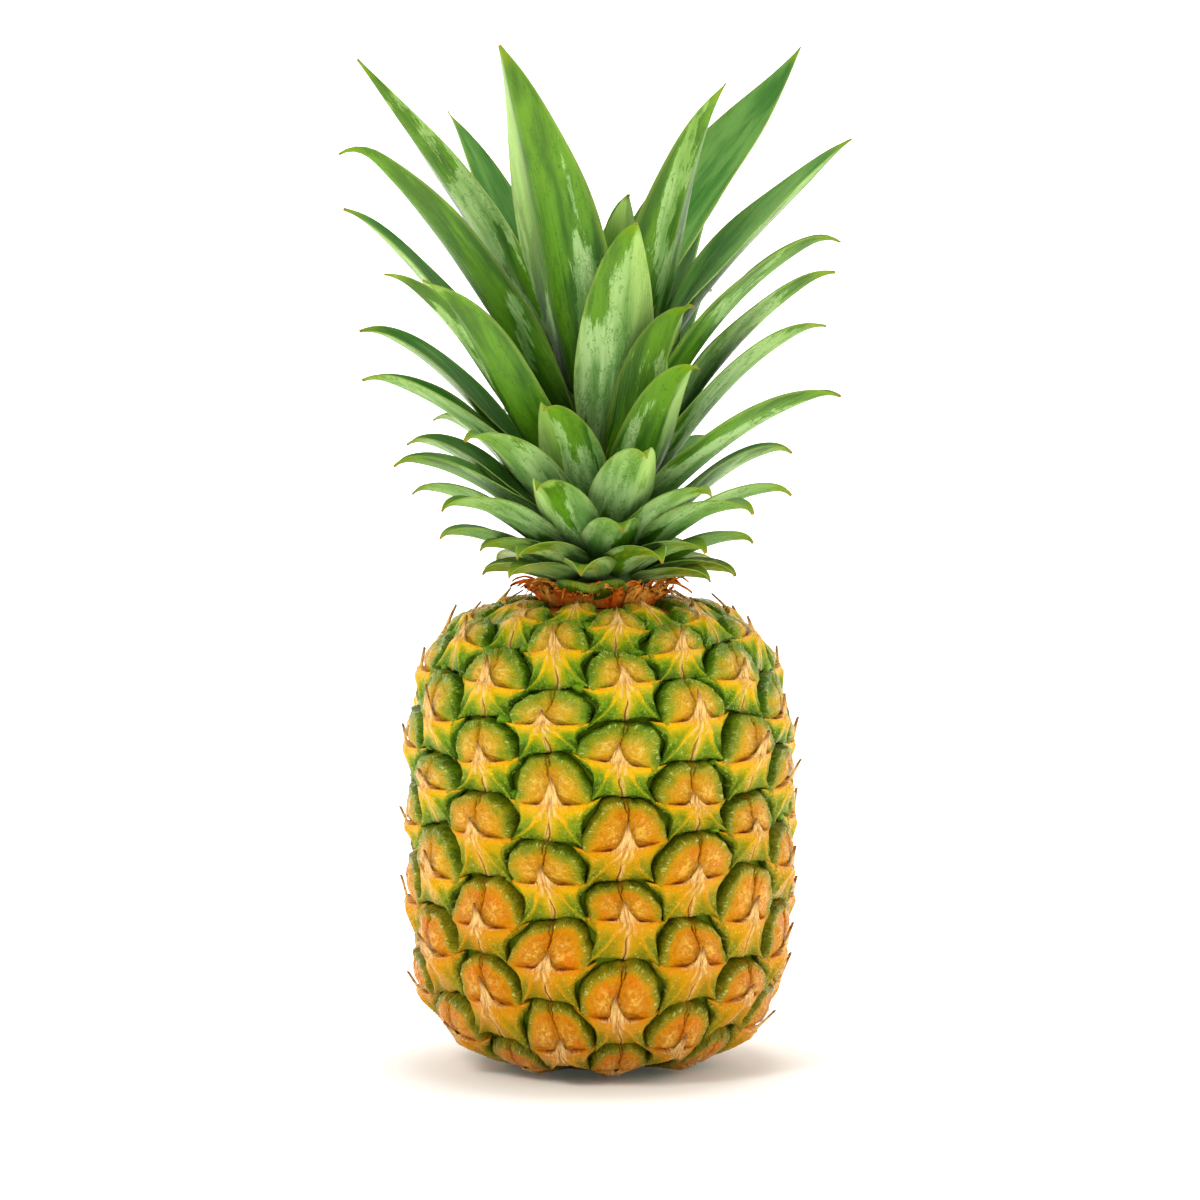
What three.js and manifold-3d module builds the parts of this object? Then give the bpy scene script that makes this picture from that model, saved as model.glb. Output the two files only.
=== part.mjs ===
// A whole pineapple standing on its base: the fruit with its eyes, the collar of dried bracts and the
// leafy crown. Millimetres, +Z up, the front faces -Y, and the origin is the centre of the flat base.
import * as THREE from 'three';
import { mergeVertices } from 'three/addons/utils/BufferGeometryUtils.js';
import Module from 'manifold-3d';

const wasm = await Module();
wasm.setup();

// ---- driving dimensions ----
// The fruit is a barrel. Its grooves lie on this surface of revolution and its eyes rise from it.
const GROOVE_RADIUS = 55.6;
const WAIST_HEIGHT = 80;
const LOWER_RISE = 77;
const UPPER_RISE = 64;
const LOWER_SQUARENESS = 3.9;
const UPPER_SQUARENESS = 3.5;

// The eyes stand in rings, each ring turned by half a pitch from the one below.
const EYES_PER_RING = 8;
const RINGS = 14;
const FIRST_RING_TURN = 7;
const HALF_PITCH = 180 / EYES_PER_RING;
const FIRST_RING_ARC = 34.8;
const FOOT_ARC_PITCH = 16;
const RING_ARC_PITCH = 14.1;
const RING_ARC_CLOSING = 0.163;
const EYE_DRIFT_TURN = 1.4;
const EYE_DRIFT_CLIMB = 0.08;
const STALK_RADIUS = 15;
const TOP_RADIUS = 16;
const TOP_HEIGHT = 143.9;

const CROWN_FOOT = 144.3;
const STEM_RISE = 66;
const STEM_FOOT_RADIUS = 15;
const STEM_TIP_RADIUS = 7.5;
const LEAF_ROOT_FOOT = 149;
const LEAF_ROOT_SPAN = 56;
const LOWEST_TIP = 150;
const HIGHEST_TIP = 317;
const LEAF_THICKNESS = 1.3;
const EDGE_THICKNESS = 0.8;

// What a leaf's level in the crown gives it: its width, and the angles above the horizontal at which it
// leaves the stem and comes to its tip. Its last share hooks down, the more the lower the leaf.
const LEAF_WIDTH = { low: 16, gain: 13, power: 0.7 };
const LEAF_START = { low: 18, gain: 56, power: 0.65 };
const LEAF_END = { low: -28, gain: 88, power: 1 };
const TIP_HOOK = 50;
const HOOK_SHARE = 0.12;
const MIDRIB_STEPS = 60;
const STATION_CROWDING = 1.35;

// The blade: the pull of the midrib's ends as shares of its span, where it is fullest, half the bend of
// its channel at the root and towards the tip, and its narrowest width.
const ROOT_PULL = 0.42;
const TIP_PULL = 0.33;
const FULLEST = 0.36;
const ROOT_FOLD = 64;
const TIP_FOLD = 36;
const NARROWEST = 1.2;
const SINK_OF_GROWN_LEAVES = 2.5;

const GAP = 0.35;

const COLLAR_RADIUS = 18.5;
const COLLAR_HEIGHT = 147.8;
const COLLAR_DEPTH = 2.4;
const COLLAR_STRANDS = 18;
const STRAND_LENGTHS = [6, 14];
const STRAND_LIFTS = [1, 5];
const STRAND_DROPS = [-1, 3.5];
const STRAND_SWAYS = [-4, 4];
const STRAND_HALF_WIDTHS = [1.5, 0.35];
const STRAND_THICKNESSES = [0.6, 0.3];

const COLOURS = {
  fruit: 0xd79a2b,
  collar: 0xb5722e,
  stem: 0x86a25e,
  leaf: 0x6f9c5c,
};

// One eye, in half pitches sideways, ring steps upwards and millimetres of rise. The six corners of its
// groove are shared with the neighbouring eyes. Inside them the right half is given, the left mirrored.
const SIDE = 0.64;
const SHOULDER = 1 - SIDE;
const GROOVE = [
  [SIDE, 0, 0], [SHOULDER, 1, 0], [-SHOULDER, 1, 0], [-SIDE, 0, 0], [-SHOULDER, -1, 0], [SHOULDER, -1, 0],
];
const RIM = [
  [0.57, 0.0, 2.4], [0.43, 0.45, 3.0], [0.29, 0.84, 3.2], [0, 0.88, 2.8],
  [0.42, -0.42, 2.2], [0.32, -0.9, 1.8], [0, -0.84, 2.4],
];
const CROWN_OF_EYE = [
  [0.32, -0.02, 4.2], [0.27, 0.14, 2.7], [0.22, 0.56, 4.6], [0, 0.62, 4.0],
  [0.29, -0.36, 3.7], [0.21, -0.62, 3.5], [0, -0.52, 3.6],
];
const BEAK_FOOT = [[0.09, 0.0, 5.2], [0, 0.13, 3.4], [0, -0.16, 5.0]];

// Each leaf: turn from the front towards +X, reach of the tip from the axis, height of the tip, and
// what its level in the crown doesn't give: a width, a roll about its midrib or a way of its own.
const LEFT_LEAVES = [
  [-95, 75, 312, { roll: 38, start: 70, end: 53, width: 22 }],
  [-68, 83, 289, { roll: 16, start: 60, end: 36, width: 24, hook: 70 }],
  [-138, 72, 297, { roll: -15, width: 18 }],
  [-37, 50, 315, { width: 36 }],
  [-95, 79, 267, { roll: -14, start: 50, end: 34, width: 18 }],
  [-62, 73, 248, { roll: 6, start: 48, end: 24, width: 22 }],
  [-48, 71, 245, { rootHeight: 178, start: 44, end: 22, hook: 0 }],
  [-90, 74, 230, { roll: -15, start: 46, end: 12, width: 20 }],
  [-72, 76, 216, { roll: -10 }], [-120, 61, 201], [-88, 60, 195, { roll: -10 }], [-38, 66, 199],
  [-66, 69, 190, { roll: -10 }], [-82, 59, 180], [-50, 63, 177], [-78, 51, 166],
];
const RIGHT_LEAVES = [
  [132, 86, 317, { roll: 27, start: 88, end: 52, width: 25 }],
  [50, 49, 304, { width: 28 }],
  [82, 77, 288, { roll: 24, start: 75 }],
  [68, 78, 260, { roll: 12, start: 66, end: 18, hook: 45 }],
  [90, 72, 248, { roll: -12 }], [80, 70, 232], [62, 82, 212, { start: 42, end: 8 }], [94, 60, 192],
  [76, 61, 180], [50, 61, 176], [86, 48, 164],
];
const FRONT_LEAVES = [
  [14, 45, 263, { width: 27 }], [38, 45, 238, { width: 26 }], [34, 53, 220], [-18, 55, 208],
  [14, 58, 194], [-20, 56, 184, { start: 30 }], [40, 53, 181],
];
const SCALE_LEAVES = [
  [8, 50, 171], [-32, 48, 162], [24, 47, 161], [48, 44, 163], [-60, 43, 163], [-85, 37, 154],
  [80, 43, 154], [62, 39, 153], [-8, 42, 157], [-45, 40, 155], [112, 40, 155], [138, 44, 159],
  [168, 42, 156], [198, 46, 161], [232, 42, 156],
];
const BUD_LEAVES = [
  [152, 19, 271, { width: 16 }], [-60, 11, 252, { width: 14 }], [60, 10, 262, { width: 13 }],
];
const BACK_LEAVES = 11;
const BACK_LEVELS = [0.14, 0.72];
const BACK_REACHES = [54, 62];
const BACK_SPREAD = 42;
const GOLDEN_ANGLE = 137.5;

// ---- small helpers ----
const radians = THREE.MathUtils.degToRad;
const mix = THREE.MathUtils.lerp;
const clamp = THREE.MathUtils.clamp;

// Seeded randomness, so that the part is the same each time.
function seeded(seed) {
  let state = seed;
  return () => {
    state = (state + 0x6d2b79f5) | 0;
    let bits = Math.imul(state ^ (state >>> 15), 1 | state);
    bits = (bits + Math.imul(bits ^ (bits >>> 7), 61 | bits)) ^ bits;
    return ((bits ^ (bits >>> 14)) >>> 0) / 4294967296;
  };
}

// A closed body gathered from triangles given as corner points.
class Skin {
  constructor() {
    this.positions = [];
  }

  triangle(a, b, c) {
    this.positions.push(...a.toArray(), ...b.toArray(), ...c.toArray());
  }

  quad(a, b, c, d) {
    this.triangle(a, b, c);
    this.triangle(a, c, d);
  }

  geometry() {
    const raw = new THREE.BufferGeometry();
    raw.setAttribute('position', new THREE.Float32BufferAttribute(this.positions, 3));
    return mergeVertices(raw, 1e-4);
  }
}

function solidOf(geometry) {
  const bare = geometry.clone();
  bare.deleteAttribute('normal');
  bare.deleteAttribute('uv');
  const welded = mergeVertices(bare, 1e-4);
  return new wasm.Manifold(new wasm.Mesh({
    numProp: 3,
    vertProperties: new Float32Array(welded.attributes.position.array),
    triVerts: new Uint32Array(welded.index.array),
  }));
}

function geometryOf(solid) {
  const mesh = solid.getMesh();
  const geometry = new THREE.BufferGeometry();
  geometry.setAttribute('position', new THREE.BufferAttribute(mesh.vertProperties, 3));
  geometry.setIndex(new THREE.BufferAttribute(mesh.triVerts, 1));
  return geometry;
}

function boxesMeet(first, second) {
  const a = first.boundingBox();
  const b = second.boundingBox();
  return [0, 1, 2].every((axis) => a.min[axis] <= b.max[axis] && b.min[axis] <= a.max[axis]);
}

// What is left of a solid once its neighbours, each a gap thicker than it is, are cut away.
function clearOf(solid, neighbours) {
  let rest = solid;
  for (const neighbour of neighbours) {
    if (boxesMeet(rest, neighbour)) rest = rest.subtract(neighbour);
  }
  const pieces = rest.decompose();
  return pieces.reduce((best, piece) => (piece.volume() > best.volume() ? piece : best));
}

// ---- the fruit ----
// Half of the barrel's outline, from the middle of its base to the middle of its top.
class BarrelOutline extends THREE.Curve {
  getPoint(t) {
    const angle = mix(-90, 90, t);
    const squareness = angle < 0 ? LOWER_SQUARENESS : UPPER_SQUARENESS;
    const rise = angle < 0 ? -LOWER_RISE : UPPER_RISE;
    const across = Math.max(Math.cos(radians(angle)), 0) ** (2 / squareness);
    const up = Math.abs(Math.sin(radians(angle))) ** (2 / squareness);
    return new THREE.Vector3(GROOVE_RADIUS * across, 0, WAIST_HEIGHT + rise * up);
  }
}

const outline = new BarrelOutline();
outline.arcLengthDivisions = 3000;
const outlineLength = outline.getLength();

function arcOfRing(ring) {
  if (ring < 0) return FIRST_RING_ARC + FOOT_ARC_PITCH * ring;
  return FIRST_RING_ARC + RING_ARC_PITCH * ring - RING_ARC_CLOSING * ring * ring;
}

// A point over the barrel: the turn in degrees from the front, the ring and the rise off the groove.
// Nothing reaches below the surface that the fruit stands on, and no eye is exactly like the next.
function skinPoint(turn, ring, rise) {
  const sway = radians(turn);
  const driftTurn = EYE_DRIFT_TURN * Math.sin(3 * sway + 2.1 * ring);
  const driftRing = EYE_DRIFT_CLIMB * (Math.sin(5 * sway + 1.9 * ring) + Math.sin(3 * sway - 1.3 * ring));
  const along = clamp(arcOfRing(ring + driftRing) / outlineLength, 0.001, 0.999);
  const foot = outline.getPointAt(along);
  const way = outline.getTangentAt(along);
  const height = Math.max(foot.z - way.x * rise, 0);
  const radius = foot.x + way.z * rise;
  const azimuth = radians(turn + driftTurn);
  return new THREE.Vector3(radius * Math.sin(azimuth), -radius * Math.cos(azimuth), height);
}

// The twelve points of one closed ring of an eye, counted anticlockwise from its right point.
function roundOf(half) {
  const [side, upperSide, upper, top, lowerSide, lower, foot] = half;
  const mirrored = ([across, up, rise]) => [-across, up, rise];
  return [
    side, upperSide, upper, top, mirrored(upper), mirrored(upperSide),
    mirrored(side), mirrored(lowerSide), mirrored(lower), foot, lower, lowerSide,
  ];
}

// Length and stance of a beak: short and low on the body, long and free towards the top, worn flat
// where the fruit stands and short again under the collar.
function beakTip(ring, random) {
  if (ring === 0) return [0, 0.02, 5.3];
  if (ring === RINGS - 1) return [0.1 * (random() - 0.5), 0.3, 6.4];
  const free = clamp((ring - 9.5) / 3, 0, 1);
  const up = mix(0.5, 0.9, free) + 0.14 * (random() - 0.5);
  const lean = 0.16 * (random() - 0.5);
  return [lean, up, mix(6.8, 9, free) + 1.6 * (random() - 0.5)];
}

function addEye(skin, turn, ring, tip, extra) {
  const place = ([across, up, rise], more = extra) =>
    skinPoint(turn + across * HALF_PITCH, ring + up, rise + more);
  const groove = GROOVE.map((point) => place(point));
  const rim = roundOf(RIM).map((point) => place(point));
  const crown = roundOf(CROWN_OF_EYE).map((point) => place(point));
  for (let i = 0; i < 12; i += 1) {
    const next = (i + 1) % 12;
    skin.quad(rim[i], rim[next], crown[next], crown[i]);
  }
  for (let i = 0; i < 6; i += 1) {
    const next = (i + 1) % 6;
    skin.triangle(groove[i], rim[2 * i + 1], rim[2 * i]);
    skin.quad(groove[i], groove[next], rim[2 * next], rim[2 * i + 1]);
  }
  const swell = 1 + extra;
  const [right, above, below] = BEAK_FOOT.map(([across, up, rise]) => [across * swell, up * swell, rise]);
  const beakRight = place(right);
  const beakLeft = place([-right[0], right[1], right[2]]);
  const crevice = place(above);
  const keel = place(below);
  const point = place([tip[0] * swell, tip[1] * swell, above[2] + (tip[2] - above[2]) * swell]);
  skin.quad(crown[0], crown[1], crevice, beakRight);
  skin.quad(crown[1], crown[2], crown[3], crevice);
  skin.quad(crown[3], crown[4], crown[5], crevice);
  skin.quad(crown[5], crown[6], beakLeft, crevice);
  skin.quad(crown[6], crown[7], keel, beakLeft);
  skin.quad(crown[7], crown[8], crown[9], keel);
  skin.quad(crown[9], crown[10], crown[11], keel);
  skin.quad(crown[11], crown[0], beakRight, keel);
  skin.triangle(keel, beakRight, point);
  skin.triangle(beakRight, crevice, point);
  skin.triangle(crevice, beakLeft, point);
  skin.triangle(beakLeft, keel, point);
}

// The zigzag groove below an eye of the lowest ring or above one of the highest.
function zigzag(turn, ring, way, extra) {
  const steps = [[-SIDE, 0], [-SHOULDER, 1], [SHOULDER, 1], [SIDE, 0]];
  return steps.map(([across, out]) => ({
    turn: turn + across * HALF_PITCH,
    point: skinPoint(turn + across * HALF_PITCH, ring + way * out, extra),
  }));
}

function addEnd(skin, ring, way, radius, height, extra) {
  const edge = [];
  for (let eye = 0; eye < EYES_PER_RING; eye += 1) {
    edge.push(...zigzag(turnOfEye(ring, eye), ring, way, extra));
  }
  const centre = new THREE.Vector3(0, 0, height);
  const disc = edge.map(({ turn }) => new THREE.Vector3(
    radius * Math.sin(radians(turn)), -radius * Math.cos(radians(turn)), height));
  for (let i = 0; i < edge.length; i += 1) {
    const next = (i + 1) % edge.length;
    const corners = [edge[i].point, edge[next].point, disc[next], disc[i]];
    const lid = [disc[i], disc[next], centre];
    skin.quad(...(way > 0 ? corners : corners.reverse()));
    skin.triangle(...(way > 0 ? lid : lid.reverse()));
  }
}

function turnOfEye(ring, eye) {
  const offset = ring % 2 === 0 ? 0 : -HALF_PITCH;
  return FIRST_RING_TURN + offset + (360 / EYES_PER_RING) * eye;
}

function fruitGeometry(extra) {
  const random = seeded(11);
  const skin = new Skin();
  for (let ring = 0; ring < RINGS; ring += 1) {
    for (let eye = 0; eye < EYES_PER_RING; eye += 1) {
      addEye(skin, turnOfEye(ring, eye), ring, beakTip(ring, random), extra);
    }
  }
  addEnd(skin, 0, -1, STALK_RADIUS, 0, extra);
  addEnd(skin, RINGS - 1, 1, TOP_RADIUS, TOP_HEIGHT + extra, extra);
  return skin.geometry();
}

// ---- the crown ----
function stemRadius(height) {
  return mix(STEM_FOOT_RADIUS, STEM_TIP_RADIUS, clamp((height - CROWN_FOOT) / STEM_RISE, 0, 1));
}

function stemSolid(extra) {
  const top = CROWN_FOOT + STEM_RISE;
  const profile = [
    new THREE.Vector2(0, CROWN_FOOT - extra),
    new THREE.Vector2(STEM_FOOT_RADIUS + extra, CROWN_FOOT - extra),
    new THREE.Vector2(STEM_TIP_RADIUS + extra, top),
    new THREE.Vector2(0, top + 2 + extra),
  ];
  const lathe = new THREE.LatheGeometry(profile, 16);
  lathe.rotateX(Math.PI / 2);
  return solidOf(lathe);
}

// How far up the crown a leaf belongs, 0 at the foot and 1 at the top, from the height of its tip.
function levelOf(tipHeight) {
  return clamp((tipHeight - LOWEST_TIP) / (HIGHEST_TIP - LOWEST_TIP), 0, 1);
}

// The low leaves are short, spread and hook down, and the high ones are long, wide and upright.
function leafShape([turn, reach, tipHeight, own = {}]) {
  const level = levelOf(tipHeight);
  const rootHeight = LEAF_ROOT_FOOT + LEAF_ROOT_SPAN * level;
  const byLevel = ({ low, gain, power }) => low + gain * level ** power;
  return {
    turn,
    reach,
    tipHeight,
    level,
    rootHeight,
    rootRadius: stemRadius(rootHeight) + GAP + LEAF_THICKNESS / 2,
    width: byLevel(LEAF_WIDTH),
    start: byLevel(LEAF_START),
    end: byLevel(LEAF_END),
    hook: TIP_HOOK * (1 - level),
    roll: 0,
    ...own,
  };
}

// Even steps along the midrib, each a spot and a way in the plane of the leaf's turn.
function midribOf(leaf) {
  const root = new THREE.Vector2(leaf.rootRadius, leaf.rootHeight);
  const tip = new THREE.Vector2(leaf.reach, leaf.tipHeight);
  const span = root.distanceTo(tip);
  const first = new THREE.Vector2(Math.cos(radians(leaf.start)), Math.sin(radians(leaf.start)));
  const last = new THREE.Vector2(Math.cos(radians(leaf.end)), Math.sin(radians(leaf.end)));
  const curve = new THREE.CubicBezierCurve(
    root,
    first.multiplyScalar(ROOT_PULL * span).add(root),
    last.multiplyScalar(-TIP_PULL * span).add(tip),
    tip,
  );
  const stride = curve.getLength() / MIDRIB_STEPS;
  const steps = [];
  for (let step = 0; step <= MIDRIB_STEPS; step += 1) {
    const along = step / MIDRIB_STEPS;
    const bend = leaf.hook * clamp(1 - (1 - along) / HOOK_SHARE, 0, 1) ** 1.5;
    const way = curve.getTangentAt(along).rotateAround(new THREE.Vector2(), -radians(bend));
    const before = steps[step - 1];
    const spot = before
      ? before.spot.clone().addScaledVector(before.way, stride / 2).addScaledVector(way, stride / 2)
      : root.clone();
    steps.push({ spot, way });
  }
  return steps;
}

// Width of the blade along its length, as a share of its greatest width.
function taper(along) {
  if (along < FULLEST) return 0.5 + 0.5 * Math.sin((Math.PI / 2) * (along / FULLEST));
  return 1 - ((along - FULLEST) / (1 - FULLEST)) ** 1.9;
}

// One closed blade: stations along the midrib, each a shallow channel with its edges turned to the heart.
function leafGeometry(leaf, extra) {
  const half = leaf.width > 25 ? 2 : 1;
  const stations = 4 + Math.min(Math.floor(6 * leaf.level), 3);
  const midrib = midribOf(leaf);
  const sway = radians(leaf.turn);
  const outward = new THREE.Vector3(Math.sin(sway), -Math.cos(sway), 0);
  const sideways = new THREE.Vector3(Math.cos(sway), Math.sin(sway), 0);
  const rings = [];
  for (let station = 0; station <= stations; station += 1) {
    const step = Math.round(MIDRIB_STEPS * (1 - (1 - station / stations) ** STATION_CROWDING));
    const along = step / MIDRIB_STEPS;
    const { spot, way } = midrib[step];
    const width = Math.max(leaf.width * taper(along), NARROWEST) + 2 * extra;
    const fold = radians(mix(ROOT_FOLD, TIP_FOLD, Math.min(along / 0.4, 1)));
    const roll = radians(leaf.roll * Math.min(along / 0.5, 1));
    const inner = [];
    const outer = [];
    for (let column = -half; column <= half; column += 1) {
      const across = column / half;
      const curl = fold * across;
      const radius = width / (2 * fold);
      const thick = mix(LEAF_THICKNESS, EDGE_THICKNESS, Math.abs(across)) / 2 + extra;
      [[inner, thick], [outer, -thick]].forEach(([face, off]) => {
        const chord = (radius - off) * Math.sin(curl);
        const sag = radius - (radius - off) * Math.cos(curl);
        const up = sag * Math.cos(roll) + chord * Math.sin(roll);
        const lateral = chord * Math.cos(roll) - sag * Math.sin(roll);
        face.push(new THREE.Vector3()
          .addScaledVector(outward, spot.x - way.y * up)
          .addScaledVector(sideways, lateral)
          .setZ(spot.y + way.x * up));
      });
    }
    rings.push({ inner, outer });
  }
  const skin = new Skin();
  const last = 2 * half;
  for (let station = 0; station < stations; station += 1) {
    const here = rings[station];
    const next = rings[station + 1];
    for (let column = 0; column < last; column += 1) {
      skin.quad(here.inner[column], next.inner[column], next.inner[column + 1], here.inner[column + 1]);
      skin.quad(here.outer[column + 1], next.outer[column + 1], next.outer[column], here.outer[column]);
    }
    skin.quad(here.outer[0], next.outer[0], next.inner[0], here.inner[0]);
    skin.quad(here.inner[last], next.inner[last], next.outer[last], here.outer[last]);
  }
  for (let column = 0; column < last; column += 1) {
    const root = rings[0];
    const tip = rings[stations];
    skin.quad(root.inner[column], root.inner[column + 1], root.outer[column + 1], root.outer[column]);
    skin.quad(tip.outer[column], tip.outer[column + 1], tip.inner[column + 1], tip.inner[column]);
  }
  return skin.geometry();
}

// The leaves behind: spread by the golden angle, from the foot of the crown upwards.
function backLeaves() {
  const leaves = [];
  for (let i = 0; i < BACK_LEAVES; i += 1) {
    const level = mix(...BACK_LEVELS, i / (BACK_LEAVES - 1));
    const turn = 180 + BACK_SPREAD * Math.sin(radians(GOLDEN_ANGLE * i));
    leaves.push([turn, mix(...BACK_REACHES, level), mix(LOWEST_TIP, HIGHEST_TIP, level)]);
  }
  return leaves;
}

// ---- the collar ----
function strandSolid(strand, extra) {
  const sway = radians(strand.turn);
  const outward = new THREE.Vector3(Math.sin(sway), -Math.cos(sway), 0);
  const sideways = new THREE.Vector3(Math.cos(sway), Math.sin(sway), 0);
  const path = new THREE.QuadraticBezierCurve(
    new THREE.Vector2(COLLAR_RADIUS - 1.5, COLLAR_HEIGHT),
    new THREE.Vector2(COLLAR_RADIUS + 0.5 * strand.length, COLLAR_HEIGHT + strand.lift),
    new THREE.Vector2(COLLAR_RADIUS + strand.length, COLLAR_HEIGHT + strand.drop),
  );
  const stations = 3;
  const rings = [];
  for (let station = 0; station <= stations; station += 1) {
    const along = station / stations;
    const spot = path.getPoint(along);
    const half = mix(...STRAND_HALF_WIDTHS, along) + extra;
    const thick = mix(...STRAND_THICKNESSES, along) + extra;
    const side = strand.sway * along * along;
    const corner = (across, up) => new THREE.Vector3()
      .addScaledVector(outward, spot.x)
      .addScaledVector(sideways, side + across * half)
      .setZ(spot.y + up * thick);
    rings.push([corner(-1, -0.6), corner(1, -0.6), corner(0, 1)]);
  }
  const skin = new Skin();
  for (let station = 0; station < stations; station += 1) {
    for (let i = 0; i < 3; i += 1) {
      const next = (i + 1) % 3;
      const here = rings[station];
      const there = rings[station + 1];
      skin.quad(here[i], here[next], there[next], there[i]);
    }
  }
  skin.triangle(rings[0][2], rings[0][1], rings[0][0]);
  skin.triangle(...rings[stations]);
  return solidOf(skin.geometry());
}

function collarSolid(extra) {
  const random = seeded(29);
  const inner = COLLAR_RADIUS - COLLAR_DEPTH;
  const section = [
    [inner - extra, -1.2 - extra], [COLLAR_RADIUS + extra, -1.2 - extra],
    [COLLAR_RADIUS + extra, 1 + extra], [inner - extra, 0.6 + extra],
  ];
  const profile = [...section, section[0]].map(([x, y]) => new THREE.Vector2(x, COLLAR_HEIGHT + y));
  const ring = new THREE.LatheGeometry(profile, 20);
  ring.rotateX(Math.PI / 2);
  let collar = solidOf(ring);
  for (let i = 0; i < COLLAR_STRANDS; i += 1) {
    const strand = {
      turn: (360 / COLLAR_STRANDS) * (i + 0.7 * (random() - 0.5)),
      length: mix(...STRAND_LENGTHS, random()),
      lift: mix(...STRAND_LIFTS, random()),
      drop: mix(...STRAND_DROPS, random()),
      sway: mix(...STRAND_SWAYS, random()),
    };
    collar = collar.add(strandSolid(strand, extra));
  }
  return collar;
}

// ---- the whole pineapple ----
const pineapple = new THREE.Group();

function addPiece(name, geometry, colour, roughness) {
  const material = new THREE.MeshStandardMaterial({ color: colour, roughness, metalness: 0 });
  const mesh = new THREE.Mesh(geometry, material);
  mesh.name = name;
  pineapple.add(mesh);
}

function leafName(side, index) {
  return `leaf_${side}_${String(index + 1).padStart(2, '0')}`;
}

const fruitBody = fruitGeometry(0);
const fruitKeepOut = solidOf(fruitGeometry(GAP));

const grownLeaves = [...SCALE_LEAVES, ...BUD_LEAVES].map((leaf) => {
  const shape = leafShape(leaf);
  return { ...shape, rootRadius: stemRadius(shape.rootHeight) - SINK_OF_GROWN_LEAVES };
});
const stemParts = (extra) => [
  stemSolid(extra),
  ...grownLeaves.map((leaf) => solidOf(leafGeometry(leaf, extra))),
];
const stemKeepOut = stemParts(GAP);
const stem = clearOf(stemParts(0).reduce((whole, leaf) => whole.add(leaf)), [fruitKeepOut]);
const collar = clearOf(collarSolid(0), [fruitKeepOut, ...stemKeepOut]);
const collarKeepOut = collarSolid(GAP);

const namedLeaves = Object.entries({
  left: LEFT_LEAVES,
  right: RIGHT_LEAVES,
  front: FRONT_LEAVES,
  back: backLeaves(),
}).flatMap(([side, leaves]) => leaves.map((leaf, index) => ({
  name: leafName(side, index),
  shape: leafShape(leaf),
})));

// The inner leaves keep their whole shape, and each one further out is clear of them.
namedLeaves.sort((first, second) => second.shape.level - first.shape.level);
const keepOut = [fruitKeepOut, ...stemKeepOut, collarKeepOut];

addPiece('fruit', fruitBody, COLOURS.fruit, 0.55);
addPiece('dry_bract_collar', geometryOf(collar), COLOURS.collar, 0.9);
addPiece('crown_stem', geometryOf(stem), COLOURS.stem, 0.6);
for (const { name, shape } of namedLeaves) {
  const blade = clearOf(solidOf(leafGeometry(shape, 0)), keepOut);
  keepOut.push(solidOf(leafGeometry(shape, GAP)));
  addPiece(name, geometryOf(blade), COLOURS.leaf, 0.55);
}

export default pineapple;
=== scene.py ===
"""A whole pineapple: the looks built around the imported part. Shapes are in millimetres up to add_piece."""

import functools
import itertools
import math
import random
import types

import bpy
import numpy as np
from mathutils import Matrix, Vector


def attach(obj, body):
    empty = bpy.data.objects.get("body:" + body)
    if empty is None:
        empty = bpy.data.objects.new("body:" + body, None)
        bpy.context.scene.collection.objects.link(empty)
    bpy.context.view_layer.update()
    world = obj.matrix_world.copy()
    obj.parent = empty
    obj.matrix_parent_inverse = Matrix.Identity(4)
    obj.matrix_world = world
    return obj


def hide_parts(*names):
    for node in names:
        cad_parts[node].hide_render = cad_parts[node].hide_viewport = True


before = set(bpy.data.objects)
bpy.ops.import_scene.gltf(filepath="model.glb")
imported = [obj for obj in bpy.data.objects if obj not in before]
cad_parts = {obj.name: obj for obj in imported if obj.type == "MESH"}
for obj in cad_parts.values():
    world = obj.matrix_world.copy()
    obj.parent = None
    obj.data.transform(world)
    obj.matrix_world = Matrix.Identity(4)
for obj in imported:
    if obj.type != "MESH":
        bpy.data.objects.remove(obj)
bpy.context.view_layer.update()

MM = 0.001

# ---- the barrel of the fruit and the lattice of its eyes, as in the part ----
GROOVE_RADIUS = 55.6
WAIST_HEIGHT = 80
LOWER_RISE = 77
UPPER_RISE = 64
LOWER_SQUARENESS = 3.9
UPPER_SQUARENESS = 3.5
EYES_PER_RING = 8
RINGS = 14
FIRST_RING_TURN = 7
HALF_PITCH = 180 / EYES_PER_RING
FIRST_RING_ARC = 34.8
FOOT_ARC_PITCH = 16
RING_ARC_PITCH = 14.1
RING_ARC_CLOSING = 0.163
EYE_DRIFT_TURN = 1.4
EYE_DRIFT_CLIMB = 0.08
STALK_RADIUS = 15
TOP_RADIUS = 16
TOP_HEIGHT = 143.9

# An eye is drawn at this size and then fitted to its place in the lattice.
EYE_HALF_PITCH = 23.5
EYE_RING_PITCH = 12.5

# ---- the crown, as in the part ----
CROWN_FOOT = 144.3
STEM_RISE = 66
STEM_FOOT_RADIUS = 15
STEM_TIP_RADIUS = 7.5
LEAF_ROOT_FOOT = 149
LEAF_ROOT_SPAN = 56
LOWEST_TIP = 150
HIGHEST_TIP = 317
LEAF_THICKNESS = 1.3
LEAF_GAP = 0.35
TIP_HOOK = 50
HOOK_SHARE = 0.12
ROOT_HANDLE = 0.42
TIP_HANDLE = 0.33
FULLEST = 0.36
ROOT_FOLD = 64
MIDDLE_FOLD = 36
TIP_FOLD = 18
KEEL_THICKNESS = 1.25
EDGE_THICKNESS = 0.5
SMALL_STATIONS = 30
COLLAR_RADIUS = 18.5
COLLAR_HEIGHT = 147.8

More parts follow.
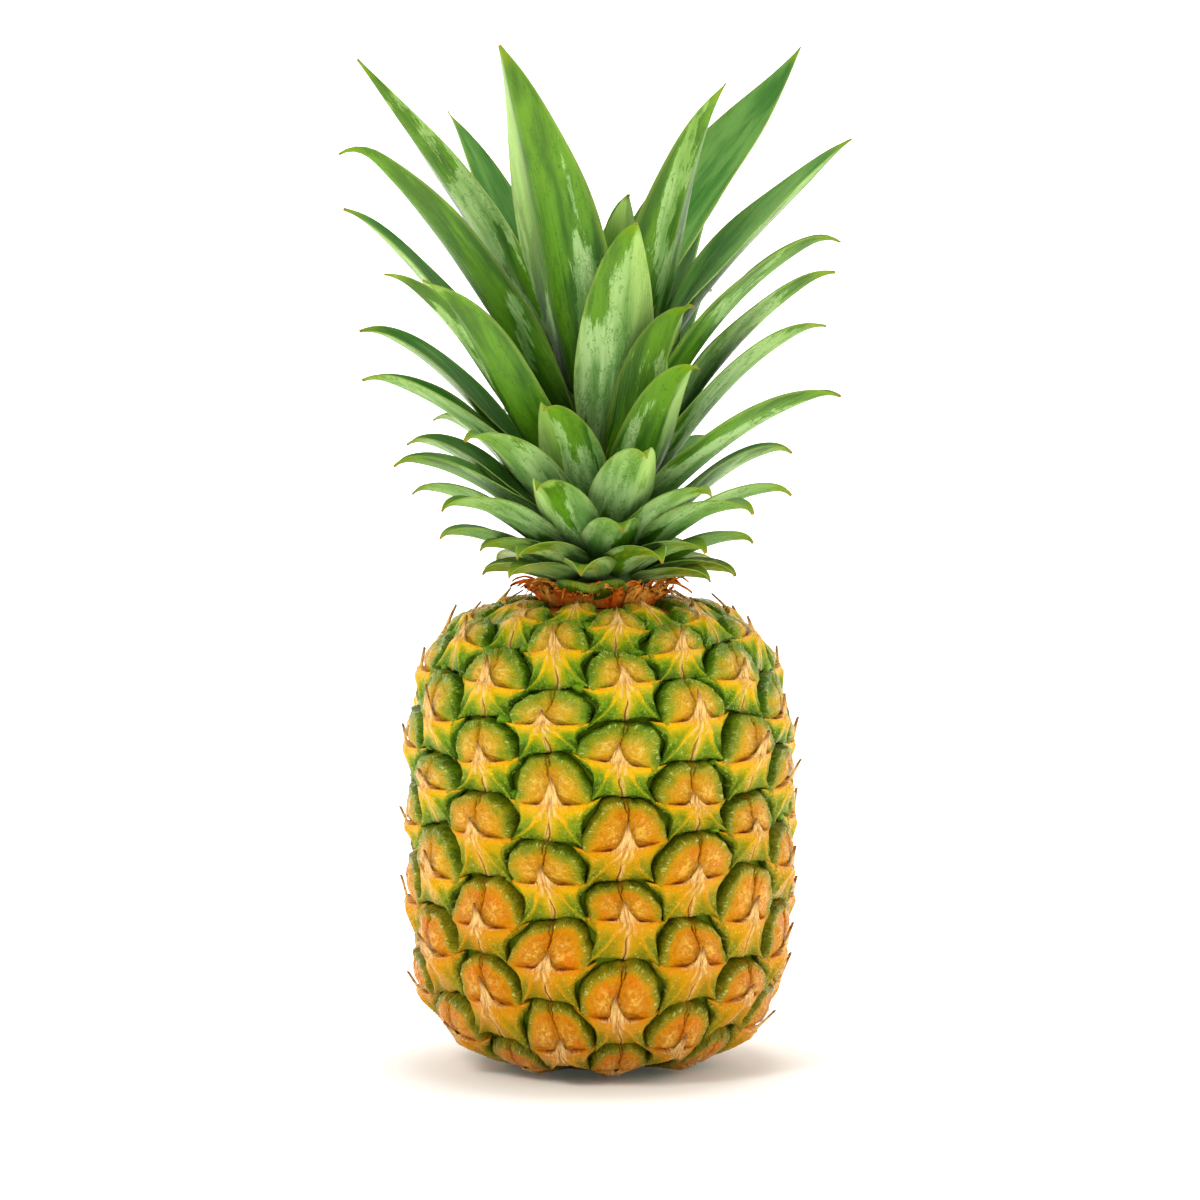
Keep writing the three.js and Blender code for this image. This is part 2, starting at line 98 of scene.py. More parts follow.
# Each leaf has its turn in degrees from the front, its reach, the height of its tip, and then what
# departs from the rule in leaf_shape.
LEFT_LEAVES = [
    (-95, 75, 312, {"roll": 38, "start": 70, "end": 53, "width": 22}),
    (-68, 83, 289, {"roll": 16, "start": 60, "end": 36, "width": 24, "hook": 70}),
    (-138, 72, 297, {"roll": -15, "width": 18}),
    (-37, 50, 315, {"width": 36}),
    (-95, 79, 267, {"roll": -14, "start": 50, "end": 34, "width": 18}),
    (-62, 73, 248, {"roll": 6, "start": 48, "end": 24, "width": 22}),
    (-48, 71, 245, {"root_height": 178, "start": 44, "end": 22, "hook": 0}),
    (-90, 74, 230, {"roll": -15, "start": 46, "end": 12, "width": 20}),
    (-72, 76, 216, {"roll": -10}), (-120, 61, 201), (-88, 60, 195, {"roll": -10}), (-38, 66, 199),
    (-66, 69, 190, {"roll": -10}), (-82, 59, 180), (-50, 63, 177), (-78, 51, 166),
]
RIGHT_LEAVES = [
    (132, 86, 317, {"roll": 27, "start": 88, "end": 52, "width": 25}),
    (50, 49, 304, {"width": 28}),
    (82, 77, 288, {"roll": 24, "start": 75}),
    (68, 78, 260, {"roll": 12, "start": 66, "end": 18, "hook": 45}),
    (90, 72, 248, {"roll": -12}), (80, 70, 232), (62, 82, 212, {"start": 42, "end": 8}), (94, 60, 192),
    (76, 61, 180), (50, 61, 176), (86, 48, 164),
]
FRONT_LEAVES = [
    (14, 45, 263, {"width": 27}), (38, 45, 238, {"width": 26}), (34, 53, 220), (-18, 55, 208),
    (14, 58, 194), (-20, 56, 184, {"start": 30}), (40, 53, 181),
]
SCALE_LEAVES = [
    (8, 50, 171), (-32, 48, 162), (24, 47, 161), (48, 44, 163), (-60, 43, 163), (-85, 37, 154),
    (80, 43, 154), (62, 39, 153), (-8, 42, 157), (-45, 40, 155), (112, 40, 155), (138, 44, 159),
    (168, 42, 156), (198, 46, 161), (232, 42, 156),
]
BUD_LEAVES = [
    (152, 19, 271, {"width": 16}),
    # The second bud leaf's negative stain paints its face paler, as painted light where it stands in shade.
    (30, 17, 270.5, {"width": 20, "blunt": 4, "stain": -2, "ripe_tip": 3, "start": 88, "end": 76, "hook": 0}),
    (-60, 11, 252, {"width": 14}), (60, 10, 262, {"width": 13}),
]
# The short torn leaf that stands on the collar. Its light of 0.5 makes the painted shade at the root reach
# further up it.
LOW_LEAF = (-8, 23, 152, {
    "root_height": 147, "width": 22, "start": 78, "end": 50, "hook": 0, "blunt": 7, "fold": 0.75,
    "stain": 0.6, "wear": 1.2, "light": 0.5,
})
# How far the wax is rubbed off some of the leaves, by their number.
RUBBED_LEAVES = {
    "left": {1: 0.1, 2: 0.9, 4: 0.6, 5: -0.6, 6: 0.15, 7: 0.6, 8: 0.1},
    "right": {2: 0.45, 4: 0.5, 7: 0.3},
    "front": {1: -0.15, 2: 0.62, 3: 0.6, 4: 0.15, 5: -0.2, 6: -0.3, 7: -0.6},
    "back": {},
}
BACK_LEAVES = 11
GOLDEN_ANGLE = 137.5

# ---- what is drawn at random, each from its own seed ----
EYE_SEED = 5
NODULE_SEED = 23
COLLAR_SEED = 29
LEAF_SEED = 41
STEM_SEED = 43


# ---- helpers for numbers, colours and meshes ----
def mix(a, b, t):
    return a + (b - a) * t


def smooth(value, low, high):
    """0 below low, 1 above high and a soft step between them."""
    t = unit((value - low) / (high - low))
    return t * t * (3 - 2 * t)


def unit(value):
    return np.clip(value, 0, 1)


def bell(value, width):
    return np.exp(-((value / width) ** 2))


def phase(draw):
    """Where a wave starts."""
    return draw(0, 6)


def srgb(*screen):
    """A linear colour from screen values of 0 to 255."""
    shares = [value / 255 for value in screen]
    return (*[share / 12.92 if share <= 0.04045 else ((share + 0.055) / 1.055) ** 2.4 for share in shares], 1)


def ring_points(turns, radius, height):
    """A row of points round the axis, by turns in radians from the front."""
    row = np.broadcast_arrays(np.sin(turns) * radius, -np.cos(turns) * radius, height)
    return np.stack(row, axis=-1)


def in_space(turn, out, side, up):
    """Points by their way out from the axis at a turn in degrees, sideways from there and up."""
    out, side, up = np.broadcast_arrays(out, side, up)
    sin, cos = math.sin(math.radians(turn)), math.cos(math.radians(turn))
    return np.stack([out * sin + side * cos, side * sin - out * cos, up], axis=-1).reshape(-1, 3)


def link(name, data):
    """A new object in the scene."""
    made = bpy.data.objects.new(name, data)
    bpy.context.collection.objects.link(made)
    return made


def smooth_mesh(name, points, faces, material):
    mesh = bpy.data.meshes.new(name)
    mesh.from_pydata(points, [], faces)
    mesh.validate()
    mesh.polygons.foreach_set("use_smooth", [True] * len(mesh.polygons))
    mesh.materials.append(material)
    return mesh


def add_piece(name, points, faces, material, attributes):
    """A mesh that rides on the part. Its points come in millimetres."""
    mesh = smooth_mesh(name, (np.asarray(points) * MM).tolist(), faces, material)
    for label, values in attributes.items():
        layer = mesh.attributes.new(label, "FLOAT_VECTOR", "POINT")
        layer.data.foreach_set("vector", np.asarray(values, dtype=np.float32).ravel())
    piece = link(name, mesh)
    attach(piece, "root")
    return piece


def grid_faces(rows, columns, first=0, wrap=False, flip=False):
    """Quads over a grid of points stored row by row."""
    faces = []
    for row in range(rows - 1):
        for column in range(columns if wrap else columns - 1):
            beside = (column + 1) % columns
            low = first + row * columns
            high = low + columns
            quad = (low + column, low + beside, high + beside, high + column)
            faces.append(quad[::-1] if flip else quad)
    return faces


class Gather:
    """Points, faces and attributes of many like forms gathered in one mesh."""

    def __init__(self):
        self.points, self.faces, self.layers = [], [], ([], [], [])
        self.count = 0

    def add(self, points, faces, spot=0, tone=0, relief=0):
        self.faces += [tuple(self.count + corner for corner in face) for face in faces]
        self.points.append(points)
        for layer, given in zip(self.layers, (spot, tone, relief)):
            layer.append(np.broadcast_to(given, points.shape))
        self.count += len(points)

    def piece(self, name, material, slot):
        attributes = dict(zip(("spot", "tone", "relief"), map(np.concatenate, self.layers)))
        return add_piece(name, np.concatenate(self.points), self.faces, material, attributes)


def threes(*fields):
    """Fields of one value a point as rows of three."""
    return np.stack([field.ravel() for field in np.broadcast_arrays(*fields)], axis=-1)


# ---- helpers for materials ----
WHITE_GLOSS = (1, 1, 1)
GOLD_GLOSS = (1, 0.82, 0.12)
LEAF_GLOSS = (0.92, 1, 0.72)
# Where a Mix node has its two colours and the mixed one.
MIX_COLOURS = (6, 7)
MIXED_COLOUR = 2


class Paint:
    """A node material with a Principled shader, whose colour is laid on coat by coat.

    A value is a number or the output of a node. A colour is an output or screen values of 0 to 255.
    """

    def __init__(self, name, roughness, specular, gloss=GOLD_GLOSS):
        self.material = bpy.data.materials.new(name)
        self.material.use_nodes = True
        self.tree = self.material.node_tree
        self.shader = self.tree.nodes["Principled BSDF"]
        self.give({"Roughness": roughness, "Specular IOR Level": specular, "Specular Tint": (*gloss, 1)})
        self.colour = None

    def give(self, inputs):
        """Values or colours for inputs of the shader itself."""
        for label, value in inputs.items():
            self.put(self.shader.inputs[label], value)

    def put(self, socket, value):
        if isinstance(value, bpy.types.NodeSocket):
            self.tree.links.new(value, socket)
        else:
            socket.default_value = value

    def use(self, kind, output, *values, **named):
        """An output of a new node. Values and capital names fill its inputs, other names are its settings."""
        made = self.tree.nodes.new(kind)
        for key, value in named.items():
            if key[0].isupper():
                self.put(made.inputs[key], value)
            else:
                setattr(made, key, value)
        for socket, value in zip(made.inputs, values):
            self.put(socket, value)
        return made.outputs[output]

    def math(self, operation, *values):
        return self.use("ShaderNodeMath", 0, *values, operation=operation)

    def times(self, *values):
        return functools.reduce(lambda total, value: self.math("MULTIPLY", total, value), values)

    def plus(self, *values):
        return functools.reduce(lambda total, value: self.math("ADD", total, value), values)

    def ragged(self, *parts):
        """Noises about zero added up, each with its strength."""
        return self.plus(*[self.times(self.math("SUBTRACT", noise, 0.5), size) for noise, size in parts])

    def step(self, value, low, high, start=0, end=1):
        """A soft step from start to end as a value goes from low to high."""
        values = (value, low, high, start, end)
        return self.use("ShaderNodeMapRange", 0, *values, interpolation_type="SMOOTHSTEP")

    def mix(self, factor, *colours):
        mixed = self.use("ShaderNodeMix", MIXED_COLOUR, factor, data_type="RGBA")
        for place, colour in zip(MIX_COLOURS, colours):
            self.put(mixed.node.inputs[place], srgb(*colour) if isinstance(colour, tuple) else colour)
        return mixed

    def lay(self, tint, *factors):
        """Lays a tint over the colour so far, as strongly as the factors say together."""
        self.colour = self.mix(self.times(*factors), self.colour, tint)

    def paint_glints(self, place, amount, tint, density=1.1):
        """Lays small pale spots of painted glint, scattered where amount is high."""
        dots = self.use("ShaderNodeTexVoronoi", "Distance", Vector=place, Scale=density)
        kept = self.step(self.noise(place, 0.9, 1), 0.44, 0.54)
        self.lay(tint, self.step(dots, 0.36, 0.16), kept, amount)

    def ramp(self, value, stops):
        """A colour that runs through stops of a value and a screen colour."""
        shown = self.use("ShaderNodeValToRGB", "Color", value)
        band = shown.node.color_ramp
        for _ in stops[2:]:
            band.elements.new(0.5)
        for element, (place, colour) in zip(band.elements, stops):
            element.position = place
            element.color = srgb(*colour)
        return shown

    def split(self, vector):
        return self.use("ShaderNodeSeparateXYZ", slice(3), vector)

    def attributes(self, *names):
        """The values that the points carry, three under each name."""
        vectors = [self.use("ShaderNodeAttribute", "Vector", attribute_name=name) for name in names]
        return [value for vector in vectors for value in self.split(vector)]

    def vector(self, *values):
        return self.use("ShaderNodeCombineXYZ", 0, *values)

    def noise(self, where, scale, detail=2, rough=0.55):
        return self.use("ShaderNodeTexNoise", 0, Vector=where, Scale=scale, Detail=detail, Roughness=rough)

    def place(self):
        """The place on the object itself, in metres."""
        return self.use("ShaderNodeTexCoord", "Object")

    def finish(self, relief, distance, **inputs):
        """The material with its colour, the bumps of a relief and what else the shader is given."""
        bump = self.use("ShaderNodeBump", 0, Height=relief, Distance=distance)
        self.give({"Base Color": self.colour, "Normal": bump, **inputs})
        return self.material


# ---- materials ----
RIPENING = 1.5
UNRIPE_DOME = ((0, (208, 152, 24)), (0.2, (200, 156, 24)), (0.4, (164, 152, 24)), (0.58, (118, 140, 20)),
               (0.78, (74, 114, 12)), (1, (54, 90, 8)))
RIPE_DOME = ((0, (200, 118, 0)), (0.22, (202, 132, 2)), (0.4, (186, 132, 4)), (0.57, (156, 128, 10)),
             (0.76, (120, 113, 12)), (1, (90, 94, 10)))
UNRIPE_STAR = ((0, (232, 172, 4)), (0.25, (220, 174, 8)), (0.45, (172, 162, 14)), (0.64, (114, 142, 14)),
               (0.85, (72, 114, 10)), (1, (56, 92, 8)))
RIPE_STAR = ((0, (206, 128, 2)), (0.26, (204, 138, 4)), (0.46, (184, 136, 8)), (0.66, (148, 128, 12)),
             (0.88, (112, 108, 12)), (1, (90, 94, 10)))
# These go from an unripe eye to a ripe one.
GROOVE_SKIN_AND_SHADE = ((58, 92, 10), (92, 88, 10))
DOME_CREAM_AND_HIGHLIGHT = ((242, 208, 96), (250, 204, 84))
DOME_CREST_HIGHLIGHT = ((140, 162, 56), (160, 146, 40))
STAR_MARGIN_AND_GLOW = ((136, 172, 48), (166, 154, 34))


def ripened(paint, ripe, edge, unripe_stops, ripe_stops):
    """The colour from the middle of an eye to its green edge, for an eye as ripe as this."""
    ripening = paint.math("POWER", ripe, RIPENING)
    return paint.mix(ripening, paint.ramp(edge, unripe_stops), paint.ramp(edge, ripe_stops))


def groove_paint():
    """The skin between the eyes: dark green, with a dry brown stalk scar below and a brown neck on top."""
    paint = Paint("groove_green", 0.6, 0.12)
    place = paint.place()
    blotch = paint.noise(place, 90, 3)
    fibre = paint.noise(place, 420, 4)
    scar, neck, _ = paint.attributes("tone")
    paint.colour = paint.mix(blotch, (72, 96, 12), (108, 132, 20))
    paint.lay(paint.mix(fibre, (112, 52, 8), (196, 112, 30)), neck)
    paint.lay(paint.mix(fibre, (70, 44, 20), (158, 118, 66)), scar)
    return paint.finish(fibre, 0.0006)


def sepal_paint():
    """The domed upper half of an eye: gold and orange inside, a green rim with painted highlights and glints
    along its crest, a brown slit.
    """
    paint = Paint("sepal_gold", 0.24, 0.31)
    step, times = paint.step, paint.times
    u, v, seed, green, pale, ripe, deep, crease, wrinkle = paint.attributes("spot", "tone", "relief")
    place = paint.vector(u, v, times(seed, 37))
    cloud = paint.noise(place, 0.16)
    lumps = paint.noise(place, 0.6)
    fine = paint.noise(place, 1.6, 3, 0.6)
    up = paint.math("SUBTRACT", v, DOME_CENTRE)
    reach = paint.math("SQRT", paint.plus(times(u, u), times(up, up)))
    rays = paint.vector(times(wrinkle, 1.1), times(reach, 0.34), times(seed, 9))
    rays = paint.noise(rays, 1)
    edge = paint.plus(green, paint.ragged((cloud, 0.95), (lumps, 0.3), (fine, 0.12)))
    paint.colour = ripened(paint, ripe, edge, UNRIPE_DOME, RIPE_DOME)
    # An orange blush, a brown darkening beside the slit painted as shade, and cream streaks over the lobes,
    # partly their paler skin and partly painted highlight.
    blush = times(step(cloud, 0.5, 0.62), step(edge, 0.45, 0.2))
    paint.lay((216, 102, 4), blush, ripe, 0.6)
    # Painted shade: the skin beside the slit is darkened brown.
    middle = times(step(paint.math("ABSOLUTE", u), 3.8, 0.6), step(v, 4.5, 7))
    paint.lay((160, 92, 8), middle, step(lumps, 0.62, 0.42), 0.26)
    soft = step(paint.plus(lumps, paint.ragged((rays, 0.4))), 0.42, 0.64, 0.14, 1)
    paint.lay(paint.mix(ripe, *DOME_CREAM_AND_HIGHLIGHT), pale, soft, 0.75)
    # The crest of the rim, painted lighter as a highlight, with painted glints in dashes and specks along it.
    crest = times(step(green, 0.46, 0.62), step(green, 0.88, 0.76))
    paint.lay(paint.mix(ripe, *DOME_CREST_HIGHLIGHT), crest, step(lumps, 0.4, 0.6, 0.05, 0.3))
    painted_glint_dashes = times(crest, step(rays, 0.55, 0.63), step(lumps, 0.4, 0.58))
    paint.lay((208, 212, 120), painted_glint_dashes, 0.6)
    band = times(step(green, 0.2, 0.5), step(green, 0.98, 0.85))
    paint.paint_glints(place, times(band, 0.22), (206, 208, 120))
    paint.paint_glints(place, times(pale, 0.45), (255, 232, 160), 0.8)
    # The slit with the painted shadow under the ledge beside the beak, and the skin low in the groove, dark
    # green darkened further as painted shade.
    paint.lay((128, 52, 10), step(crease, 0.25, 0.9), 0.85)
    paint.lay(paint.mix(ripe, *GROOVE_SKIN_AND_SHADE), step(deep, 0.3, 1))
    relief = paint.plus(times(fine, 0.6), lumps, times(rays, 0.3))
    return paint.finish(relief, 0.0018)


def bract_paint():
    """The star below it: orange-gold arms, green hollows, a dry tan beak with brown fibres."""
    paint = Paint("bract_gold", 0.26, 0.36)
    step, times = paint.step, paint.times
    u, v, seed, green, tan, ripe, deep, crease, dry_tip = paint.attributes("spot", "tone", "relief")
    place = paint.vector(u, v, times(seed, 53))
    cloud = paint.noise(place, 0.24, 1.5)
    fine = paint.noise(place, 1.1, 3, 0.6)
    edge = paint.plus(green, paint.ragged((cloud, 0.42), (fine, 0.14)))
    paint.colour = ripened(paint, ripe, edge, UNRIPE_STAR, RIPE_STAR)
    # Rust along the ledge, a pale margin that is partly paler skin and partly painted light through the thin
    # edge, and flecks of painted glint.
    rust = times(step(v, -2.2, 0.2), step(edge, 0.5, 0.15), step(cloud, 0.42, 0.58))
    paint.lay((228, 112, 6), rust, 0.5)
    margin = times(step(green, 0.6, 0.74), step(green, 1, 0.86))
    paint.lay(paint.mix(ripe, *STAR_MARGIN_AND_GLOW), margin, step(fine, 0.44, 0.6, 0.05, 0.5))
    glint_flecks = times(step(edge, 0.05, 0.35), 0.26)
    paint.paint_glints(place, glint_flecks, (226, 222, 120), 0.8)
    # The dry fibres, with cracks between them, the crease and the dead tip of the beak.
    fibres = paint.noise(paint.vector(times(u, 1.9), times(v, 0.22), seed), 1, 3)
    dry = paint.mix(step(fibres, 0.34, 0.6), (206, 140, 68), (248, 210, 136))
    paint.lay(dry, step(tan, 0.1, 0.9), 0.88)
    paint.lay((132, 62, 18), step(fibres, 0.4, 0.33), step(tan, 0.3, 0.8), 0.6)
    paint.lay((134, 58, 10), step(crease, 0.3, 0.9), 0.85)
    paint.lay((116, 60, 22), dry_tip, 0.8)
    # The turned-under skirt: dark groove skin, darkened further as painted shade.
    paint.lay(paint.mix(ripe, *GROOVE_SKIN_AND_SHADE), step(deep, 0.2, 1))
    relief = paint.plus(times(fine, 1.2), times(fibres, tan))
    return paint.finish(relief, 0.0011)


def nodule_paint():
    """The small knobs between the eyes: plain green."""
    paint = Paint("nodule_green", 0.35, 0.2)
    blotch = paint.noise(paint.place(), 260)
    paint.colour = paint.mix(paint.step(blotch, 0.3, 0.7), (66, 112, 14), (114, 152, 26))
    return paint.finish(blotch, 0.0005)


def strand_paint():
    """Dried bracts round the neck: orange-brown, fibrous and papery."""
    paint = Paint("dry_bract", 0.7, 0.12)
    place = paint.place()
    tone = paint.noise(place, 110, 3)
    fibre = paint.noise(place, 800, 3)
    dark, _, _ = paint.attributes("tone")
    paint.colour = paint.mix(paint.step(tone, 0.35, 0.65), (238, 112, 30), (250, 178, 76))
    # Painted shade: darker at the roots of the flakes and ribbons and on the ring, where they tuck into the
    # neck.
    paint.lay((150, 62, 16), dark, 0.5)
    paint.lay((150, 66, 16), paint.step(fibre, 0.45, 0.6), 0.3)
    return paint.finish(fibre, 0.0004)


def leaf_paint():
    """A crown leaf: grey-green wax outside, rubbed off in ragged patches, and plain green inside."""
    paint = Paint("leaf_green", 0.42, 0.3, LEAF_GLOSS)
    step, times = paint.step, paint.times
    across, along, seed, outer, tip, share, margin, wear, stain = paint.attributes("spot", "tone", "relief")
    shift = times(seed, 61)

    def streaks(cross_scale, long_scale, detail, roughness=0.6):
        where = paint.vector(times(across, cross_scale), times(along, long_scale), shift)
        return paint.noise(where, 1, detail, roughness)

    rag = streaks(0.9, 0.13, 6, 0.8)
    thread = streaks(2, 0.02, 3)
    cloud = streaks(0.22, 0.035, 2)
    yellowing_and_glow = step(share, 0.35, 0.95)
    # The wax outside and the fresh green where it is rubbed off, both yellower towards the tip, partly in
    # colour and partly as painted light through the thin upper blade.
    bloom = paint.mix(step(cloud, 0.34, 0.64), (90, 136, 64), (158, 192, 124))
    bloom = paint.mix(times(step(thread, 0.45, 0.65), 0.12), bloom, (176, 206, 138))
    bloom = paint.mix(times(yellowing_and_glow, 0.5), bloom, (128, 168, 48))
    fresh = paint.mix(step(cloud, 0.35, 0.65), (38, 84, 6), (82, 132, 18))
    fresh = paint.mix(times(yellowing_and_glow, 0.14), fresh, (140, 178, 34))
    rubbed = paint.plus(streaks(0.13, 0.028, 1, 0.5), paint.ragged((rag, 0.4)), times(wear, 0.2),
                        step(share, 0.5, 0.95, 0, 0.05))
    worn = step(rubbed, 0.545, 0.57)
    outside = paint.mix(worn, bloom, fresh)
    # Scratches and hairlines in the wax.
    scratch = step(streaks(0.75, 0.3, 5, 0.85), 0.415, 0.375)
    contour = paint.math("ABSOLUTE", paint.math("SUBTRACT", streaks(0.42, 0.11, 5, 0.75), 0.5))
    hairline = times(step(contour, 0.02, 0.006), step(streaks(0.2, 0.07, 1), 0.46, 0.54))
    outside = paint.mix(times(paint.math("MAXIMUM", scratch, hairline), 0.75), outside, (50, 92, 16))
    inside = paint.mix(step(thread, 0.2, 0.8), (42, 98, 26), (64, 122, 42))
    inside = paint.mix(times(step(cloud, 0.35, 0.65), 0.55), inside, (114, 162, 76))
    paint.colour = paint.mix(outer, inside, outside)
    # A pale flank where the stain is negative, painted as a highlight on the side that catches the light;
    # painted shade at the root; stains, a pale edge and a ripe tip.
    flank = paint.math("MAXIMUM", times(stain, -1), 0)
    paint.lay((178, 214, 112), flank, 0.5)
    paint.lay((22, 48, 8), step(share, 0.32, 0.04), 0.72)
    stained = times(paint.math("MAXIMUM", stain, 0), step(rag, 0.48, 0.58))
    paint.lay((206, 160, 36), stained, 0.6)
    paint.lay((176, 200, 92), margin, 0.4)
    paint.lay((124, 150, 20), step(tip, 0, 0.9), 0.7)
    paint.lay((180, 130, 36), step(tip, 0.93, 1), 0.6)
    roughness = paint.plus(times(worn, -0.12), 0.46)
    return paint.finish(paint.plus(thread, times(rag, 0.6)), 0.0004, Roughness=roughness)


# ---- the barrel ----
def barrel_outline():
    """Length along the outline from the middle of the base, with radius, height and direction there."""
    angle = np.radians(np.linspace(-90, 90, 24001))
    lower = angle < 0
    power = 2 / np.where(lower, LOWER_SQUARENESS, UPPER_SQUARENESS)
    rise = np.where(lower, -LOWER_RISE, UPPER_RISE)
    radius = GROOVE_RADIUS * np.maximum(np.cos(angle), 0) ** power
    height = WAIST_HEIGHT + rise * np.abs(np.sin(angle)) ** power
    length = np.concatenate([[0], np.cumsum(np.hypot(np.diff(radius), np.diff(height)))])
    even = np.linspace(0, length[-1], 4001)
    radius, height = np.interp(even, length, radius), np.interp(even, length, height)
    slope_r, slope_z = np.gradient(radius, even), np.gradient(height, even)
    size = np.hypot(slope_r, slope_z)
    return even, radius, height, slope_r / size, slope_z / size


OUTLINE = barrel_outline()


def arc_of_ring(ring):
    """How far up the outline a ring lies. Rings below the first are there for the groove's foot."""
    above = FIRST_RING_ARC + RING_ARC_PITCH * ring - RING_ARC_CLOSING * ring * ring
    return np.where(ring < 0, FIRST_RING_ARC + FOOT_ARC_PITCH * ring, above)


def skin_points(turn, ring, rise):
    """Points over the barrel from turn in degrees, ring and rise off the groove, as in the part."""
    length, radius, height, slope_r, slope_z = OUTLINE
    sway = np.radians(turn)
    drift_turn = EYE_DRIFT_TURN * np.sin(3 * sway + 2.1 * ring)
    drift_ring = EYE_DRIFT_CLIMB * (np.sin(5 * sway + 1.9 * ring) + np.sin(3 * sway - 1.3 * ring))
    arc = np.clip(arc_of_ring(ring + drift_ring), 0.2, length[-1] - 0.2)
    out = np.interp(arc, length, radius) + np.interp(arc, length, slope_z) * rise
    up = np.maximum(np.interp(arc, length, height) - np.interp(arc, length, slope_r) * rise, 0)
    azimuth = np.radians(turn + drift_turn)
    return np.stack([out * np.sin(azimuth), -out * np.cos(azimuth), up], axis=-1)


BEAK_LENGTH = 7.4


def grow_eye(ring, number, draw):
    """One eye's place in the lattice and what is its own."""
    free = float(smooth(ring, 8.5, 12))
    return types.SimpleNamespace(
        turn=FIRST_RING_TURN - HALF_PITCH * (ring % 2) + 2 * HALF_PITCH * number,
        ring=ring,
        free=free,
        lean=math.radians(draw(-4, 4)),
        size=draw(0.97, 1.03),
        proud=draw(-0.3, 0.35),
        beak=BEAK_LENGTH * draw(0.75, 1.15),
        beak_side=draw(-0.32, 0.32),
        beak_out=mix(draw(0, 0.26), draw(0.2, 0.42), free),
        skew=draw(-1, 1),
        spread=draw(-1, 1),
        tilt=draw(-1, 1),
        seed=draw(0, 1),
        ripe=1 - float(smooth(ring + draw(-1.5, 1.5), 2.5, 11)),
    )


def grow_eyes():
    draw = random.Random(EYE_SEED).uniform
    return [grow_eye(ring, number, draw) for ring in range(RINGS) for number in range(EYES_PER_RING)]


def on_eye(eye, u, v, rise):
    """Millimetres across and up an eye, and off the fruit, to points in space."""
    u, v, rise = (np.ravel(field) for field in (u, v, rise))
    cos, sin = math.cos(eye.lean), math.sin(eye.lean)
    across = (u * cos - v * sin) * eye.size / EYE_HALF_PITCH
    up = (u * sin + v * cos) * eye.size / EYE_RING_PITCH
    return skin_points(eye.turn + across * HALF_PITCH, eye.ring + up, rise * crowding(eye.ring))


def crowding(ring):
    """Eyes near the two ends are smaller, so they are flatter too."""
    return float(mix(0.6, 1, smooth(ring, -0.5, 2)) * mix(1, 0.55, smooth(ring, 10.5, 13.5)))


def save_eyes(names, eyes, build, material):
    """The eyes in as many pieces as there are names, by ring from the foot up."""
    share = RINGS / len(names)
    for number, name in enumerate(names):
        gather = Gather()
        for eye in eyes:
            if int(eye.ring / share) == number:
                build(gather, eye)
        gather.piece(name, material, "rind")


# ---- pieces of the fruit ----
GROOVE_DEPTH = -0.9


def build_groove(material):
    """The skin in the grooves, closed by the stalk scar below and by the neck on top."""
    turns = np.arange(0, 360, 3)
    rings = np.linspace(-1, RINGS, 110)
    turn, ring = np.meshgrid(turns, rings)
    knobs = 0.25 * np.sin(np.radians(turn) * 41 + ring * 9) * np.sin(ring * 21 + np.radians(turn) * 17)
    depth = GROOVE_DEPTH * smooth(ring, -1, 0.3) * (1 - smooth(ring, 13.4, 14))
    body = skin_points(turn, ring, depth - 0.2 + knobs).reshape(-1, 3)
    sway = np.radians(turns)
    scar = [ring_points(sway, radius, height) for radius, height in
            ((0.6, 1.2), (STALK_RADIUS * 0.6, 0.7), (STALK_RADIUS * 0.85, 0), (STALK_RADIUS, 0.3))]
    lid = [ring_points(sway, radius, TOP_HEIGHT) for radius in (TOP_RADIUS, 0.6)]
    points = np.concatenate([*scar, body, *lid])
    tone = np.zeros((len(points), 3))
    tone[: len(scar) * len(turns), 0] = 1
    tone[:, 1] = smooth(points[:, 2], 137, 142)
    faces = grid_faces(len(points) // len(turns), len(turns), wrap=True)
    piece = add_piece("fruit_body", points, faces, material, {"tone": tone})
    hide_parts("fruit")


DOME_CENTRE = 3.2
DOME_OUTLINE = ((0, 13.7), (5.8, 13.5), (9.2, 11.6), (12.2, 7.9), (13.6, 4), (13.7, -0.6), (9.8, -3.2),
                (0, -3.6))
DOME_SHARES = np.array([1, 0.985, 0.965, 0.94, 0.915, 0.89, 0.865, 0.84, 0.815, 0.785, 0.75, 0.7, 0.63, 0.53,
                        0.41, 0.28, 0.15, 0.03])
RIM_SHARE = 0.82
PLATEAU = 3.9
DOME_LUMPS = 5


def dome_reach():
    """How far the dome's edge is from its centre, by whole degrees from the eye's right."""
    corners = [(math.degrees(math.atan2(v - DOME_CENTRE, side * u)) % 360, math.hypot(u, v - DOME_CENTRE))
               for side in (1, -1) for u, v in DOME_OUTLINE if side > 0 or u > 0]
    degrees, reach = zip(*sorted(corners))
    whole = np.arange(360)
    reach = np.interp(whole, degrees, reach, period=360)
    window = np.hanning(7)
    return np.convolve(np.pad(reach, 3, mode="wrap"), window / window.sum(), mode="valid")


DOME_REACH = dome_reach()
DOME_DEGREES = np.concatenate([np.arange(-22, 83, 3.5), np.arange(83, 97, 1.4), np.arange(97, 202, 3.5),
                               np.arange(202, 338, 11)])


